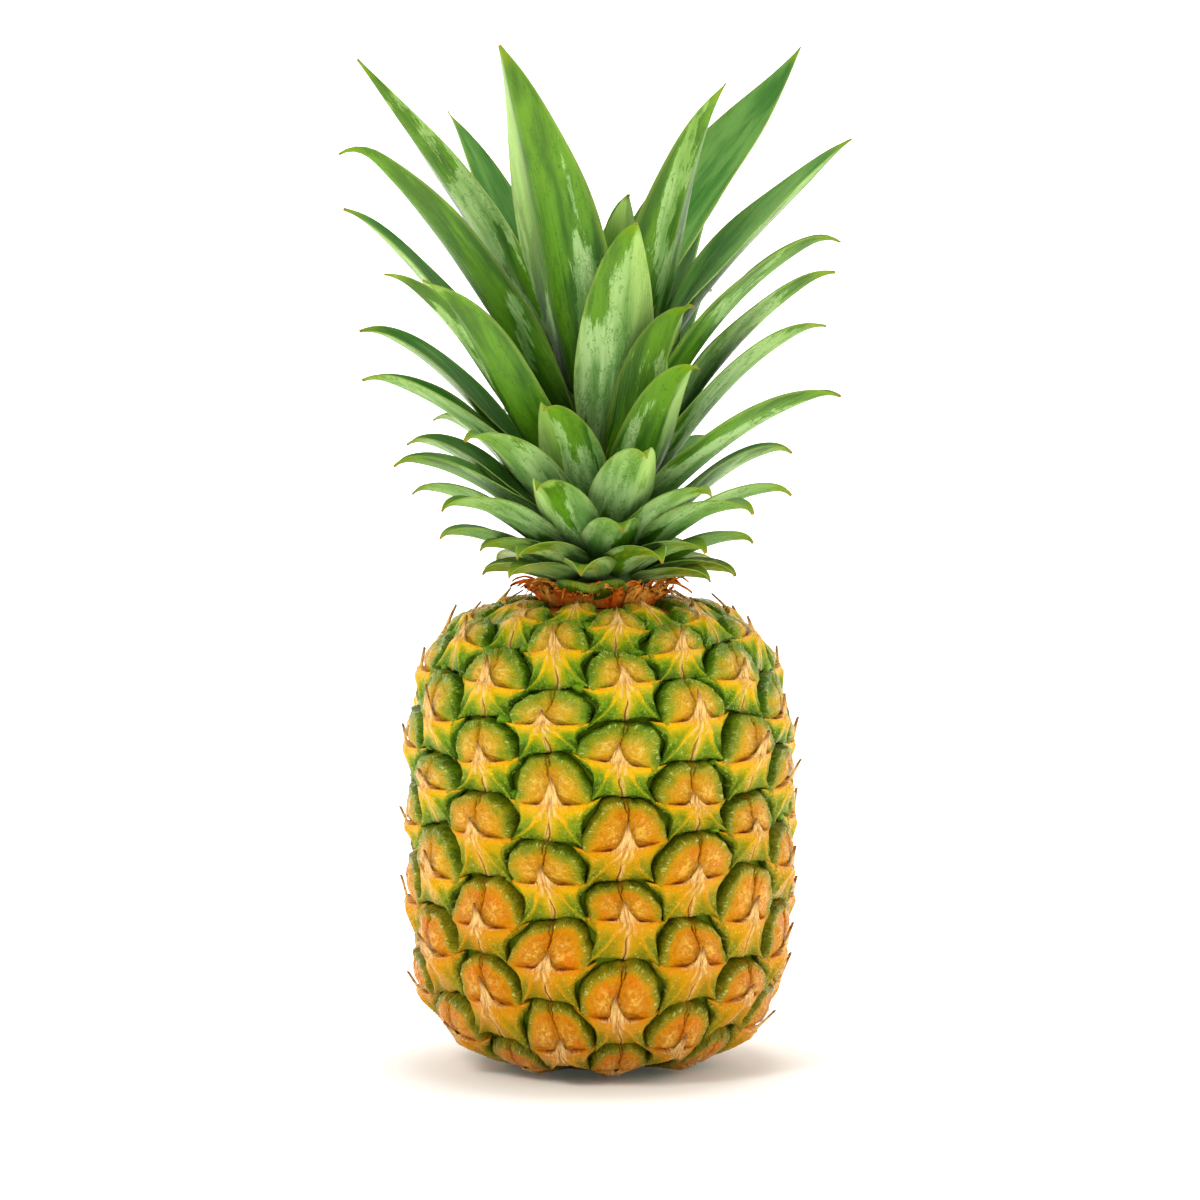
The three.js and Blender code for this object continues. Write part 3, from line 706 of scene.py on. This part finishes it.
def build_dome(gather, eye):
    """The sepal cap of an eye: a low dome with a crinkled rim and two soft lobes beside its crease."""
    draw = random.Random(round(eye.seed * 1e6)).uniform
    angle = np.radians(DOME_DEGREES)
    reach = np.interp(DOME_DEGREES % 360, np.arange(360), DOME_REACH, period=360)
    uneven = 0.99 + 0.022 * np.sin(2 * angle + phase(draw)) + 0.032 * np.sin(5 * angle + phase(draw))
    crinkle = 0.05 * np.sin(27 * angle + phase(draw))
    crinkle += 0.34 * np.sin(12 * angle + phase(draw)) * np.sin(3 * angle + 1)
    share, reach = np.meshgrid(DOME_SHARES, reach * uneven, indexing="ij")
    distance = share * reach + crinkle * smooth(share, 0.6, 0.95)
    u = distance * np.cos(angle)
    v = DOME_CENTRE + distance * np.sin(angle)
    arc = angle * reach
    outside = unit((share - RIM_SHARE) / (1 - RIM_SHARE))
    # The low dome, waves on its rim, the two lobes, ripples and lumps.
    rise = PLATEAU + 0.6 * (1 - share ** 2) - 0.35 * bell(share - 0.68, 0.1)
    rise += 0.14 * np.sin(arc * 2.6 + phase(draw)) * bell(share - RIM_SHARE, 0.06)
    rise += 0.75 * bell(np.abs(u) - draw(4.2, 5.2), 2.9) * bell(v - draw(3.6, 5), 3.6)
    rise += 0.12 * np.sin(u * 1.7 + phase(draw)) * np.sin(v * 1.5 + phase(draw))
    rise += 0.2 * np.sin(11 * angle + phase(draw)) * bell(share - 0.65, 0.25)
    for _ in range(DOME_LUMPS):
        lump = bell(u - draw(-8, 8), draw(0.9, 1.7)) * bell(v - draw(0, 9), draw(0.8, 1.5))
        rise += draw(0.2, 0.45) * lump * (1 - smooth(share, 0.75, 0.9))
    # The crease, which splits near the rim, the hollow over the ledge and the fall outside the rim.
    wander = 0.5 * np.sin(v * 0.55 + phase(draw)) * smooth(-v, -12, -7)
    split = 0.55 * smooth(v, 8.5, 10.5)
    crease = np.maximum(bell(u - wander - split, 0.32), bell(u - wander + split, 0.32)) * smooth(v, 3, 6)
    rise -= crease * (1 - 0.6 * outside)
    under = smooth(-v, -2.6, 0.4) * (0.35 + 0.65 * bell(np.abs(u) - 4.5, 4))
    rise = rise - 1.5 * under + eye.proud - (PLATEAU - GROOVE_DEPTH + 0.6) * outside ** 1.8
    # What the paint needs: how green it is, where the cream and painted highlights lie, where the slit and
    # the painted shadow under the ledge run, and how deep the painted shade of the groove is.
    greener = mix(0.12, 0.54, eye.ripe)
    ring = unit((share - greener) / (RIM_SHARE - greener)) ** mix(1.15, 1.35, eye.ripe)
    green = (0.74 * ring + 0.26 * outside ** 0.8) * mix(smooth(v, -4, 3), 1, outside)
    # Where the lobes and the beak's foot get their cream streaks, partly paler skin and partly painted
    # highlight.
    pale = bell(np.abs(u) - 4.2, 2.6) * bell(v - 4.6, 3)
    pale = np.maximum(pale, 0.8 * bell(u, 3.4) * smooth(-v, -6, -1))
    line = crease * smooth(v, 3, 5) * (0.6 + 0.3 * eye.ripe) * (1 - smooth(outside, 0.3, 0.7))
    # Painted shadow where the dome tucks under the ledge beside the beak.
    line = np.maximum(line, 0.85 * under * bell(np.abs(u) - 5, 2.8) * smooth(-v, -1.2, 0.2))
    rows, columns = share.shape
    last = (rows - 1) * columns
    faces = [*grid_faces(rows, columns, wrap=True), tuple(range(last, last + columns))]
    gather.add(on_eye(eye, u, v, rise), faces, threes(u, v, eye.seed),
               threes(green, pale, eye.ripe), threes(smooth(outside, 0.7, 1), line, arc))


STAR_REACH = 15.2
LEG = 9.7
BEAK_FOOT = 4.2
BEAK_CURVE = 2.2
STAR_TOP = ((0, -0.2), (3, -0.45), (5, -0.65), (8, -0.5), (11, -0.1), (13.5, 0.45), (15.2, 1))
STAR_BOTTOM = ((0, -11.2), (3, -10.9), (6, -10.9), (8.2, -11.4), (9.7, -12.4), (10.1, -9), (10.4, -6),
               (11.5, -4.2), (13.2, -1.9), (15.2, 0.9))
STAR_HALF = (0, 0.2, 0.4, 0.62, 0.86, 1.12, 1.4, 1.7, 2.05, 2.4, 2.8, 3.2, 3.7, 4.3, 5, 5.7, 6.4, 7.1, 7.8,
             8.4, 8.9, 9.35, 9.7, 10.05, 10.5, 11.2, 12, 12.9, 13.8, 14.6, 15.2)
STAR_ROWS = 20
BROW = 5.3
BROW_END = 1.6


def build_bract(gather, eye):
    """The star-shaped bract under a dome: a sharp ledge with two side points, a beak and two feet."""
    across = np.concatenate([-np.array(STAR_HALF[:0:-1]), STAR_HALF])
    size = np.abs(across)
    ledge = np.interp(size, *zip(*STAR_TOP))
    bottom = np.interp(size, *zip(*STAR_BOTTOM))
    # The lowest ring has stubs for beaks.
    length = eye.beak * (0.35 if eye.ring == 0 else 1)
    beak_foot = BEAK_FOOT * mix(1, 0.95, eye.free)
    curve = mix(BEAK_CURVE, 1.9, eye.free)
    top = ledge + length * unit(1 - size / beak_foot) ** curve
    share, top = np.meshgrid(np.linspace(0, 1, STAR_ROWS) ** 0.95, top, indexing="ij")
    u, size, ledge, bottom = (np.broadcast_to(row, share.shape) for row in (across, size, ledge, bottom))
    v = top + (bottom - top) * share
    over = np.maximum(v - ledge, 0)
    beak_edge = beak_foot * (1 - unit(over / length) ** (1 / curve))
    fall = unit((ledge - v) / np.maximum(ledge - bottom, 0.05))
    reach = unit(size / STAR_REACH)
    # From the brow at the ledge down to the foot, with a ridge on each leg and hollows beside it.
    brow = BROW_END + (BROW - BROW_END) * (1 - reach ** 1.5)
    foot = np.interp(size, (0, 6, 9.7, 10.4, 15.2), (1.7, 1.7, 2.2, 1.1, 1.2))
    bow = 0.5 * np.sin(np.pi * fall) * (1 + eye.spread)
    leg_line = mix(1.2, LEG, unit((-0.6 - v) / 11.4) ** 0.9) - bow
    on_leg = smooth(-v, 0.6, 2.5)
    ridge = bell(size - leg_line, np.where(size < leg_line, 0.65, 1.3)) * on_leg
    between = smooth(leg_line - size, 0.2, 2.4) * on_leg
    arm_side = unit((size - leg_line) / 4) * on_leg
    rise = brow + (foot - brow) * fall ** 1.15 + 0.6 * np.sin(np.pi * fall) * (1 - reach ** 2)
    rise += 0.8 * ridge - 0.7 * between * smooth(fall, 0, 0.4) - 0.6 * np.sin(np.pi * arm_side) * fall
    # A fan of veins from the beak's root, the crease, the lip of the ledge and the free beak.
    root_turn = np.arctan2(u, 1.4 - v)
    root_reach = np.hypot(u, 1.4 - v)
    veins = 0.5 + 0.5 * np.cos(root_turn * 13 + 1.5 * np.sin(root_reach * 0.8 + eye.seed * 30))
    fan = bell(root_turn, 0.85) * smooth(root_reach, 0.4, 1.6) * (1 - smooth(root_reach, 3.5, 8.5))
    fan *= over < 0.2
    rise += fan * (0.2 + 0.5 * veins)
    crease = bell(u + 0.3 * np.sin(v + eye.seed * 20), 0.36) * smooth(fall, 0.3, 0.55)
    rise -= 0.6 * crease
    lip = (1 - smooth(fall, 0, 0.1)) * (over < 0.01) * (1 - reach) * 0.3
    rolled = (0.3 * bell(size - beak_edge, 0.45) - 0.25 * bell(u, 0.5) * bell(over - 2.6, 1.6)) * (over > 0)
    rise += lip + rolled + over * eye.beak_out + 0.018 * over ** 2 + eye.proud
    # The beak leans, and the arms and feet are warped a little.
    u = u + eye.beak_side * (over - 0.035 * over ** 2)
    u = u + 0.18 * np.sin(1.1 * over + eye.seed * 20) * smooth(over, 1, 4)
    low = smooth(-v, 0, 8)
    swing = np.sin(np.pi * u / STAR_REACH)
    u = u + np.sign(u) * smooth(size, 4, 9) * (1.1 * smooth(-v, 8.5, 12.4) - 1.3 * bell(v + 5.2, 2.6))
    v = v + 0.5 * eye.tilt * swing * low
    u = u + low * (0.8 * eye.skew * np.cos(np.pi * u / STAR_REACH / 2) + 0.7 * eye.spread * swing)
    # What the paint needs: how green it is, how dry, and where the crease and the dead tip are.
    crest = np.maximum(bell(size - leg_line, 0.9) * on_leg, bell(fall, 0.12))
    inner_green = 0.22 + 0.3 * bell(size - 5.5, 2.6) + 0.32 * fall ** 2
    green = np.where(size < leg_line, inner_green, 0.12 + 1.1 * fall) * (1 - 0.75 * crest * (1 - fall ** 3))
    green = np.max([green, 0.4 * smooth(reach, 0.82, 1), 0.85 * smooth(fall, 0.86, 1)], axis=0)
    green = green * mix(1.2, 0.95, eye.ripe) * (over < 0.3)
    dry = [fan * (0.25 + 0.75 * veins), smooth(over, 0.05, 0.8), bell(u, 1.6) * smooth(v, -1.6, 0),
           0.6 * bell(fall, 0.06) * (1 - smooth(size, 3, 11)), 0.55 * bell(u, 1.3) * smooth(fall, 0.3, 0.5)]
    dead_tip = smooth(over, 0.4 * length, 0.85 * length) * (length > 4)
    layers = [threes(u, v, eye.seed), threes(green, np.max(dry, axis=0), eye.ripe),
              threes(0, crease, dead_tip)]
    edge = boundary(STAR_ROWS, len(across))
    rim = [field.ravel()[edge] for field in (u, v, rise, over)]
    skirt_points, skirt_faces = skirt(eye, rim, u.size, edge)
    layers = [np.concatenate([layer, layer[edge], layer[edge]]) for layer in layers]
    # The skirt gets the dark groove skin and painted shade, except behind the free beak.
    layers[2][u.size + len(edge):, 0] = 1 - smooth(rim[3], 0.1, 0.6)
    gather.add(np.concatenate([on_eye(eye, u, v, rise), skirt_points]),
               grid_faces(STAR_ROWS, len(across), flip=True) + skirt_faces, *layers)


def boundary(rows, columns):
    """Indices round the edge of a grid: along the first row, down, back and up."""
    grid = np.arange(rows * columns).reshape(rows, columns)
    return np.concatenate([grid[0], grid[1:, -1], grid[-1, -2::-1], grid[-2:0:-1, 0]])


def skirt(eye, rim, first, edge):
    """The turned-under edge of a bract, sunk into the fruit except behind the free beak."""
    u, v, rise, over = rim
    loose = smooth(over, 0.2, 1.4)
    under = on_eye(eye, u * 0.995, -4 + (v + 4) * 0.995, rise - mix(0.9, 0.45, loose))
    deep = on_eye(eye, u * mix(0.9, 0.8, loose), -4 + (v + 4) * mix(0.92, 0.985, loose),
                  mix(GROOVE_DEPTH - 0.8, rise - 0.9, loose))
    here = np.stack([edge, first + np.arange(len(edge)), first + len(edge) + np.arange(len(edge))], axis=1)
    beside = np.roll(here, -1, axis=0)
    faces = np.stack([here[:, :-1], beside[:, :-1], beside[:, 1:], here[:, 1:]], axis=-1)
    return np.concatenate([under, deep]), faces.reshape(-1, 4).tolist()


def build_nodules(eyes, material):
    """Small green knobs of skin where the eyes of the upper half meet."""
    draw = random.Random(NODULE_SEED).uniform
    gather = Gather()
    rows, columns = 7, 12
    polar = np.linspace(0, np.pi * 0.62, rows)
    lat, lon = np.meshgrid(polar, np.linspace(0, 2 * np.pi, columns, endpoint=False), indexing="ij")
    for eye, side in itertools.product(eyes, (-1, 1)):
        greener = 1 - eye.ripe
        if not 1 <= eye.ring <= 12 or draw(0, 1) >= 0.08 + 0.82 * greener ** 2:
            continue
        size = draw(1.5, 2.6) * mix(0.55, 1, greener)
        middle = side * 15 + draw(-1.8, 1.8)
        level = draw(0.2, 2.6)
        lump = size * (1 + 0.18 * np.sin(3 * lon + phase(draw)) * np.sin(lat)) * np.sin(lat)
        u = middle + 1.3 * lump * np.cos(lon)
        v = level + draw(0.55, 0.95) * lump * np.sin(lon)
        rise = 0.3 + size * (0.8 + 0.3 * greener) * np.cos(lat)
        gather.add(on_eye(eye, u, v, rise), grid_faces(rows, columns, wrap=True, flip=True))
    gather.piece("nodules", material, "rind")


# ---- the crown ----
def stem_radius(height):
    return mix(STEM_FOOT_RADIUS, STEM_TIP_RADIUS, float(unit((height - CROWN_FOOT) / STEM_RISE)))


def leaf_shape(turn, reach, tip_height, own=None, **kind):
    """A leaf's form by rule from the height of its tip, then by its kind, then by what is its own."""
    level = float(unit((tip_height - LOWEST_TIP) / (HIGHEST_TIP - LOWEST_TIP)))
    root_height = LEAF_ROOT_FOOT + LEAF_ROOT_SPAN * level
    return {
        "turn": turn, "reach": reach, "tip_height": tip_height, "root_height": root_height,
        "root_radius": stem_radius(root_height) + LEAF_GAP + LEAF_THICKNESS / 2,
        "width": 16 + 13 * level ** 0.7, "start": 18 + 56 * level ** 0.65, "end": -28 + 88 * level,
        "hook": TIP_HOOK * (1 - level), "roll": 0, "fold": 1, "blunt": 1.9, "ripe_tip": 11, "light": 1,
        "stain": 0, "flank": 0, **kind, **(own or {}),
    }


def heading(angle):
    """A step of length one, out and up, by its angle above the level."""
    return np.stack([np.cos(angle), np.sin(angle)], axis=-1)


def midrib(leaf, count):
    """Even points and directions along the leaf's middle, in the plane of its turn."""
    root = np.array([leaf["root_radius"], leaf["root_height"]])
    tip = np.array([leaf["reach"], leaf["tip_height"]], dtype=float)
    span = np.linalg.norm(tip - root)
    first = root + ROOT_HANDLE * span * heading(math.radians(leaf["start"]))
    last = tip - TIP_HANDLE * span * heading(math.radians(leaf["end"]))
    t = np.linspace(0, 1, 400)[:, None]
    path = (1 - t) ** 3 * root + 3 * (1 - t) ** 2 * t * first + 3 * (1 - t) * t * t * last + t ** 3 * tip
    length = np.concatenate([[0], np.cumsum(np.linalg.norm(np.diff(path, axis=0), axis=1))])
    even = np.linspace(0, length[-1], count)
    spots = np.stack([np.interp(even, length, path[:, axis]) for axis in (0, 1)], axis=-1)
    ways = np.gradient(spots, even, axis=0)
    angle = np.arctan2(ways[:, 1], ways[:, 0])
    bend = unit(1 - (1 - np.linspace(0, 1, count)) / HOOK_SHARE) ** 1.5
    ways = heading(angle - math.radians(leaf["hook"]) * bend)
    steps = np.cumsum((ways[1:] + ways[:-1]) / 2 * even[1], axis=0)
    return np.concatenate([root[None], root + steps]), ways, length[-1]


def taper(along, power):
    """The width of a leaf along its length, as a share of its full width."""
    rising = 0.5 + 0.5 * np.sin(np.pi / 2 * unit(along / FULLEST))
    falling = 1 - unit((along - FULLEST) / (1 - FULLEST)) ** power
    return np.where(along < FULLEST, rising, falling)


def blade(leaf, draw, stations=46, columns=17):
    """Points, faces and attributes of one leaf: a channel with a keel, a wavy edge and a sharp tip."""
    spots, ways, length = midrib(leaf, stations)
    along = np.linspace(0, 1, stations)[:, None]
    across = np.linspace(-1, 1, columns)[None, :]
    size = np.abs(across)
    width = np.maximum(leaf["width"] * taper(along, leaf["blunt"]), 0.4)
    fold = mix(ROOT_FOLD, MIDDLE_FOLD, unit(along / 0.4)) + TIP_FOLD * smooth(along, 0.7, 1)
    fold = np.radians(fold) * leaf["fold"]
    roll = np.radians(leaf["roll"] * unit(along / 0.5))
    curl = fold * across
    radius = width / (2 * fold)
    wave = 0.3 * np.sin(along * length / 7.5 + phase(draw)) * size ** 3 * np.sign(across)
    wave += 0.25 * np.sin(along * length / 13 + across * 2 + phase(draw)) * size
    body = mix(KEEL_THICKNESS, EDGE_THICKNESS, size ** 1.5) * mix(1, 0.45, smooth(along, 0.8, 1))
    keel_height = width * mix(0.02, 0.085, smooth(along, 0.25, 0.9))
    layers = []
    for off, keel in ((body / 2, -0.5), (-body / 2, -1)):
        off = off + keel * keel_height * bell(across, 0.3)
        chord = (radius - off) * np.sin(curl)
        sag = radius - (radius - off) * np.cos(curl) + wave * smooth(along, 0.1, 0.4)
        up = sag * np.cos(roll) + chord * np.sin(roll)
        side = chord * np.cos(roll) - sag * np.sin(roll)
        out, high = spots[:, :1] - ways[:, 1:] * up, spots[:, 1:] + ways[:, :1] * up
        layers.append(in_space(leaf["turn"], out, side, high))
    # What the paint needs.
    spot = threes(across * width / 2, along * length, draw(0, 1))
    # Front leaves get a painted highlight on one flank, carried as a negative stain.
    flank = leaf["flank"] * smooth(np.sign(leaf["turn"]) * across, 0.16, 0.3) * smooth(along, 0.2, 0.65)
    wear = draw(-0.45, 0.2)
    stain = leaf["stain"] * smooth(along, 0.1, 0.9) - flank
    relief = threes(0.8 * smooth(size, 0.9, 0.99), leaf.get("wear", wear), stain)
    tip = smooth(along, 1 - min(leaf["ripe_tip"] / length, 0.3), 1)
    tones = [threes(outer + 0 * across, tip, along * leaf["light"]) for outer in (0, 1)]
    return (np.concatenate(layers), two_sided_faces(stations, columns), np.concatenate([spot, spot]),
            np.concatenate(tones), np.concatenate([relief, relief]))


def two_sided_faces(rows, columns):
    """Faces of two like grids, one over the other, closed round their edges."""
    count = rows * columns
    faces = grid_faces(rows, columns, flip=True) + grid_faces(rows, columns, first=count)
    edge = boundary(rows, columns).tolist()
    for here, beside in zip(edge, edge[1:] + edge[:1]):
        faces.append((count + here, count + beside, beside, here))
    return faces


def back_leaves():
    """The leaves behind, fanned out by the golden angle and higher one by one."""
    leaves = []
    for i in range(BACK_LEAVES):
        level = mix(0.14, 0.72, i / (BACK_LEAVES - 1))
        turn = 180 + 42 * math.sin(math.radians(GOLDEN_ANGLE * i))
        leaves.append((turn, mix(54, 62, level), mix(LOWEST_TIP, HIGHEST_TIP, level)))
    return leaves


def build_leaves(material):
    """The leaves that stand free of the stem, each a piece of its own."""
    draw = random.Random(LEAF_SEED).uniform
    sides = {"left": LEFT_LEAVES, "right": RIGHT_LEAVES, "front": FRONT_LEAVES, "back": back_leaves()}
    for side, leaves in sides.items():
        for number, leaf in enumerate(leaves, 1):
            shape = leaf_shape(*leaf, flank=float(side == "front" or (side, number) == ("left", 4)))
            if number in RUBBED_LEAVES[side]:
                shape["wear"] = RUBBED_LEAVES[side][number]
            gather = Gather()
            gather.add(*blade(shape, draw))
            piece = gather.piece(f"blade_{side}_{number:02d}", material, "leaf")
            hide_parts(f"leaf_{side}_{number:02d}")


def build_stem(material):
    """The crown's stem, its scale leaves and its bud leaves, grown as one, and the torn leaf."""
    draw = random.Random(STEM_SEED).uniform
    gather = Gather()
    turns = np.radians(np.arange(0, 360, 10))
    heights = np.linspace(CROWN_FOOT, CROWN_FOOT + STEM_RISE, 14)
    rows = [ring_points(turns, stem_radius(height), height) for height in heights]
    rows.insert(0, rows[0] * [0.05, 0.05, 1])
    rows.append(rows[-1] * [0.05, 0.05, 0] + [0, 0, heights[-1] + 2])
    gather.add(np.concatenate(rows), grid_faces(len(rows), len(turns), wrap=True))
    for leaf in SCALE_LEAVES + BUD_LEAVES:
        shape = leaf_shape(*leaf, stain=float(smooth(-leaf[2], -168, -156)))
        shape["root_radius"] = stem_radius(shape["root_height"]) - 2.5
        gather.add(*blade(shape, draw, SMALL_STATIONS, 13))
    torn = leaf_shape(*LOW_LEAF, root_radius=COLLAR_RADIUS + 1)
    gather.add(*blade(torn, draw, SMALL_STATIONS, 25))
    piece = gather.piece("crown_heart", material, "stem_leaf")
    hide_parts("crown_stem")


def ribbon(gather, draw, turn, root, heights, length, sway, width, twist, narrowing=0.9):
    """One dried ribbon that leaves the neck: heights are those of its root, its middle and its end."""
    stations, columns = 12, 5
    t = np.linspace(0, 1, stations)[:, None]
    high = (1 - t) ** 2 * heights[0] + 2 * (1 - t) * t * heights[1] + t * t * heights[2]
    middle = sway * t ** 2 + 0.5 * np.sin(t * 7 + phase(draw)) * t
    half = width / 2 * (1 - narrowing * t ** 1.6)
    across = np.linspace(-1, 1, columns)[None, :]
    spin = twist * t + draw(-0.3, 0.3)
    side = middle + across * half * np.cos(spin)
    cup = 0.3 * half * across ** 2 + 0.12 * width * np.sin(across * 5 + t * 9)
    rise = high + across * half * np.sin(spin) + cup
    points = np.concatenate([in_space(turn, root + length * t, side, rise + off) for off in (0.16, -0.16)])
    # Painted shade, darker towards the root where the ribbon tucks into the neck.
    dark = threes(1 - smooth(t, 0, 0.3), 0 * across, 0)
    gather.add(points, two_sided_faces(stations, columns), tone=np.concatenate([dark, dark]))


NECK_FLAKES = 64
NECK_RIBBONS = 34


def build_collar(material):
    """The dried bracts round the neck: a ring, papery flakes and curled ribbons."""
    draw = random.Random(COLLAR_SEED).uniform
    gather = Gather()
    turns = np.radians(np.arange(0, 360, 6))
    section = ((-2.4, -1.2), (0, -1.2), (0.3, 0), (0, 1), (-2.4, 0.6), (-2.4, -1.2))
    wavy = COLLAR_RADIUS + 0.25 * np.sin(turns * 13)
    points = np.concatenate([ring_points(turns, wavy + off, COLLAR_HEIGHT + up) for off, up in section])
    # The whole ring gets the painted shade.
    gather.add(points, grid_faces(len(section), len(turns), wrap=True), tone=1)
    for number in range(NECK_FLAKES):
        turn = 360 / NECK_FLAKES * (number + draw(-0.5, 0.5))
        heights = [COLLAR_HEIGHT + value for value in (-3.4, draw(-0.5, 1.5), draw(0.5, 3.6))]
        ribbon(gather, draw, turn, TOP_RADIUS + draw(0.8, 2.4), heights, draw(2.6, 5.2),
               draw(-1.8, 1.8), draw(3.2, 5.2), draw(-0.4, 0.4), narrowing=0.45)
    for number in range(NECK_RIBBONS):
        turn = 360 / NECK_RIBBONS * (number + draw(-0.6, 0.6))
        heights = [COLLAR_HEIGHT + value for value in (-0.5, draw(3, 9), draw(-1, 5))]
        ribbon(gather, draw, turn, COLLAR_RADIUS - 2, heights, draw(6, 14),
               draw(-4.5, 4.5), draw(1, 2.3), draw(-1.4, 1.4))
    piece = gather.piece("dried_collar", material, "dry_bract")
    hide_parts("dry_bract_collar")


# ---- the studio, in metres ----
CAMERA_DISTANCE = 1.5
CAMERA_RISE = math.radians(5)
FRAME_WIDTH = 0.372
AIM_HEIGHT = 0.1451
SENSOR = 36
FLOOR_SIDE = 3
FLOOR_BACK = 1
WALL_BEND = 0.5
WALL_TOP = 3
FLOOR_GLOW = 0.03
WALL_GLOW = 0.9
GLOW_BETWEEN = (0.05, 0.15)
ROOM_LIGHT = 0.34
PAPER = (0.86, 0.86, 0.86, 1)
WARM = (1, 0.965, 0.89)
GOLDEN = (1, 0.92, 0.76)
# Each light has its name, place, the height it is aimed at, size, watts and colour.
LIGHTS = (
    ("key", (-0.8, -1.1, 1.25), 0.14, 0.6, 17, WARM),
    ("fill", (1.1, -0.9, 0.7), 0.14, 1.1, 6.5, WARM),
    ("left side", (-1.3, 0.3, 0.45), 0.1, 0.9, 6, GOLDEN),
    ("right side", (1.3, 0.25, 0.45), 0.1, 0.9, 8, GOLDEN),
    ("top", (0.1, 0.1, 1.5), 0.15, 0.6, 8, WARM),
)


def add_camera():
    data = bpy.data.cameras.new("camera")
    data.sensor_width = SENSOR
    data.lens = SENSOR * CAMERA_DISTANCE / FRAME_WIDTH
    camera = link("camera", data)
    camera.location = (0, -CAMERA_DISTANCE * math.cos(CAMERA_RISE),
                       AIM_HEIGHT + CAMERA_DISTANCE * math.sin(CAMERA_RISE))
    camera.rotation_euler = (math.pi / 2 - CAMERA_RISE, 0, 0)
    bpy.context.scene.camera = camera


def add_light(name, place, aim, size, power, colour):
    data = bpy.data.lights.new(name, "AREA")
    data.shape = "DISK"
    data.size = size
    data.energy = power
    data.color = colour
    light = link(name, data)
    light.location = place
    light.rotation_euler = (Vector((0, 0, aim)) - Vector(place)).to_track_quat("-Z", "Y").to_euler()


def add_backdrop():
    """A pale floor that curves up into a white wall and glows away from the fruit, as lit paper does."""
    paint = Paint("pale_floor", 0.9, 0.1, WHITE_GLOSS)
    x, y, _ = paint.split(paint.place())
    away = paint.math("SQRT", paint.plus(paint.times(x, x), paint.times(y, y)))
    glow = paint.step(away, *GLOW_BETWEEN, FLOOR_GLOW, WALL_GLOW)
    paint.give({"Base Color": PAPER, "Emission Color": (1, 1, 1, 1), "Emission Strength": glow})
    profile = [(-FLOOR_SIDE, 0), (FLOOR_BACK, 0)]
    profile += [(FLOOR_BACK + WALL_BEND * math.sin(angle), WALL_BEND * (1 - math.cos(angle)))
                for angle in np.linspace(0.15, math.pi / 2, 10)]
    profile.append((FLOOR_BACK + WALL_BEND, WALL_TOP))
    points = [(x, y, z) for y, z in profile for x in (-FLOOR_SIDE, FLOOR_SIDE)]
    backdrop = link("backdrop", smooth_mesh("backdrop", points, grid_faces(len(profile), 2), paint.material))


def light_studio():
    world = bpy.data.worlds.new("studio")
    world.use_nodes = True
    background = world.node_tree.nodes["Background"]
    background.inputs["Color"].default_value = (1, 1, 1, 1)
    background.inputs["Strength"].default_value = ROOM_LIGHT
    bpy.context.scene.world = world
    for light in LIGHTS:
        add_light(*light)
    bpy.context.scene.view_settings.view_transform = "Standard"


eyes = grow_eyes()
build_groove(groove_paint())
save_eyes(["sepal_domes_lower", "sepal_domes_upper"], eyes, build_dome, sepal_paint())
save_eyes(["eye_bracts_lower", "eye_bracts_upper"], eyes, build_bract, bract_paint())
build_nodules(eyes, nodule_paint())
green = leaf_paint()
build_leaves(green)
build_stem(green)
build_collar(strand_paint())
add_backdrop()
add_camera()
light_studio()
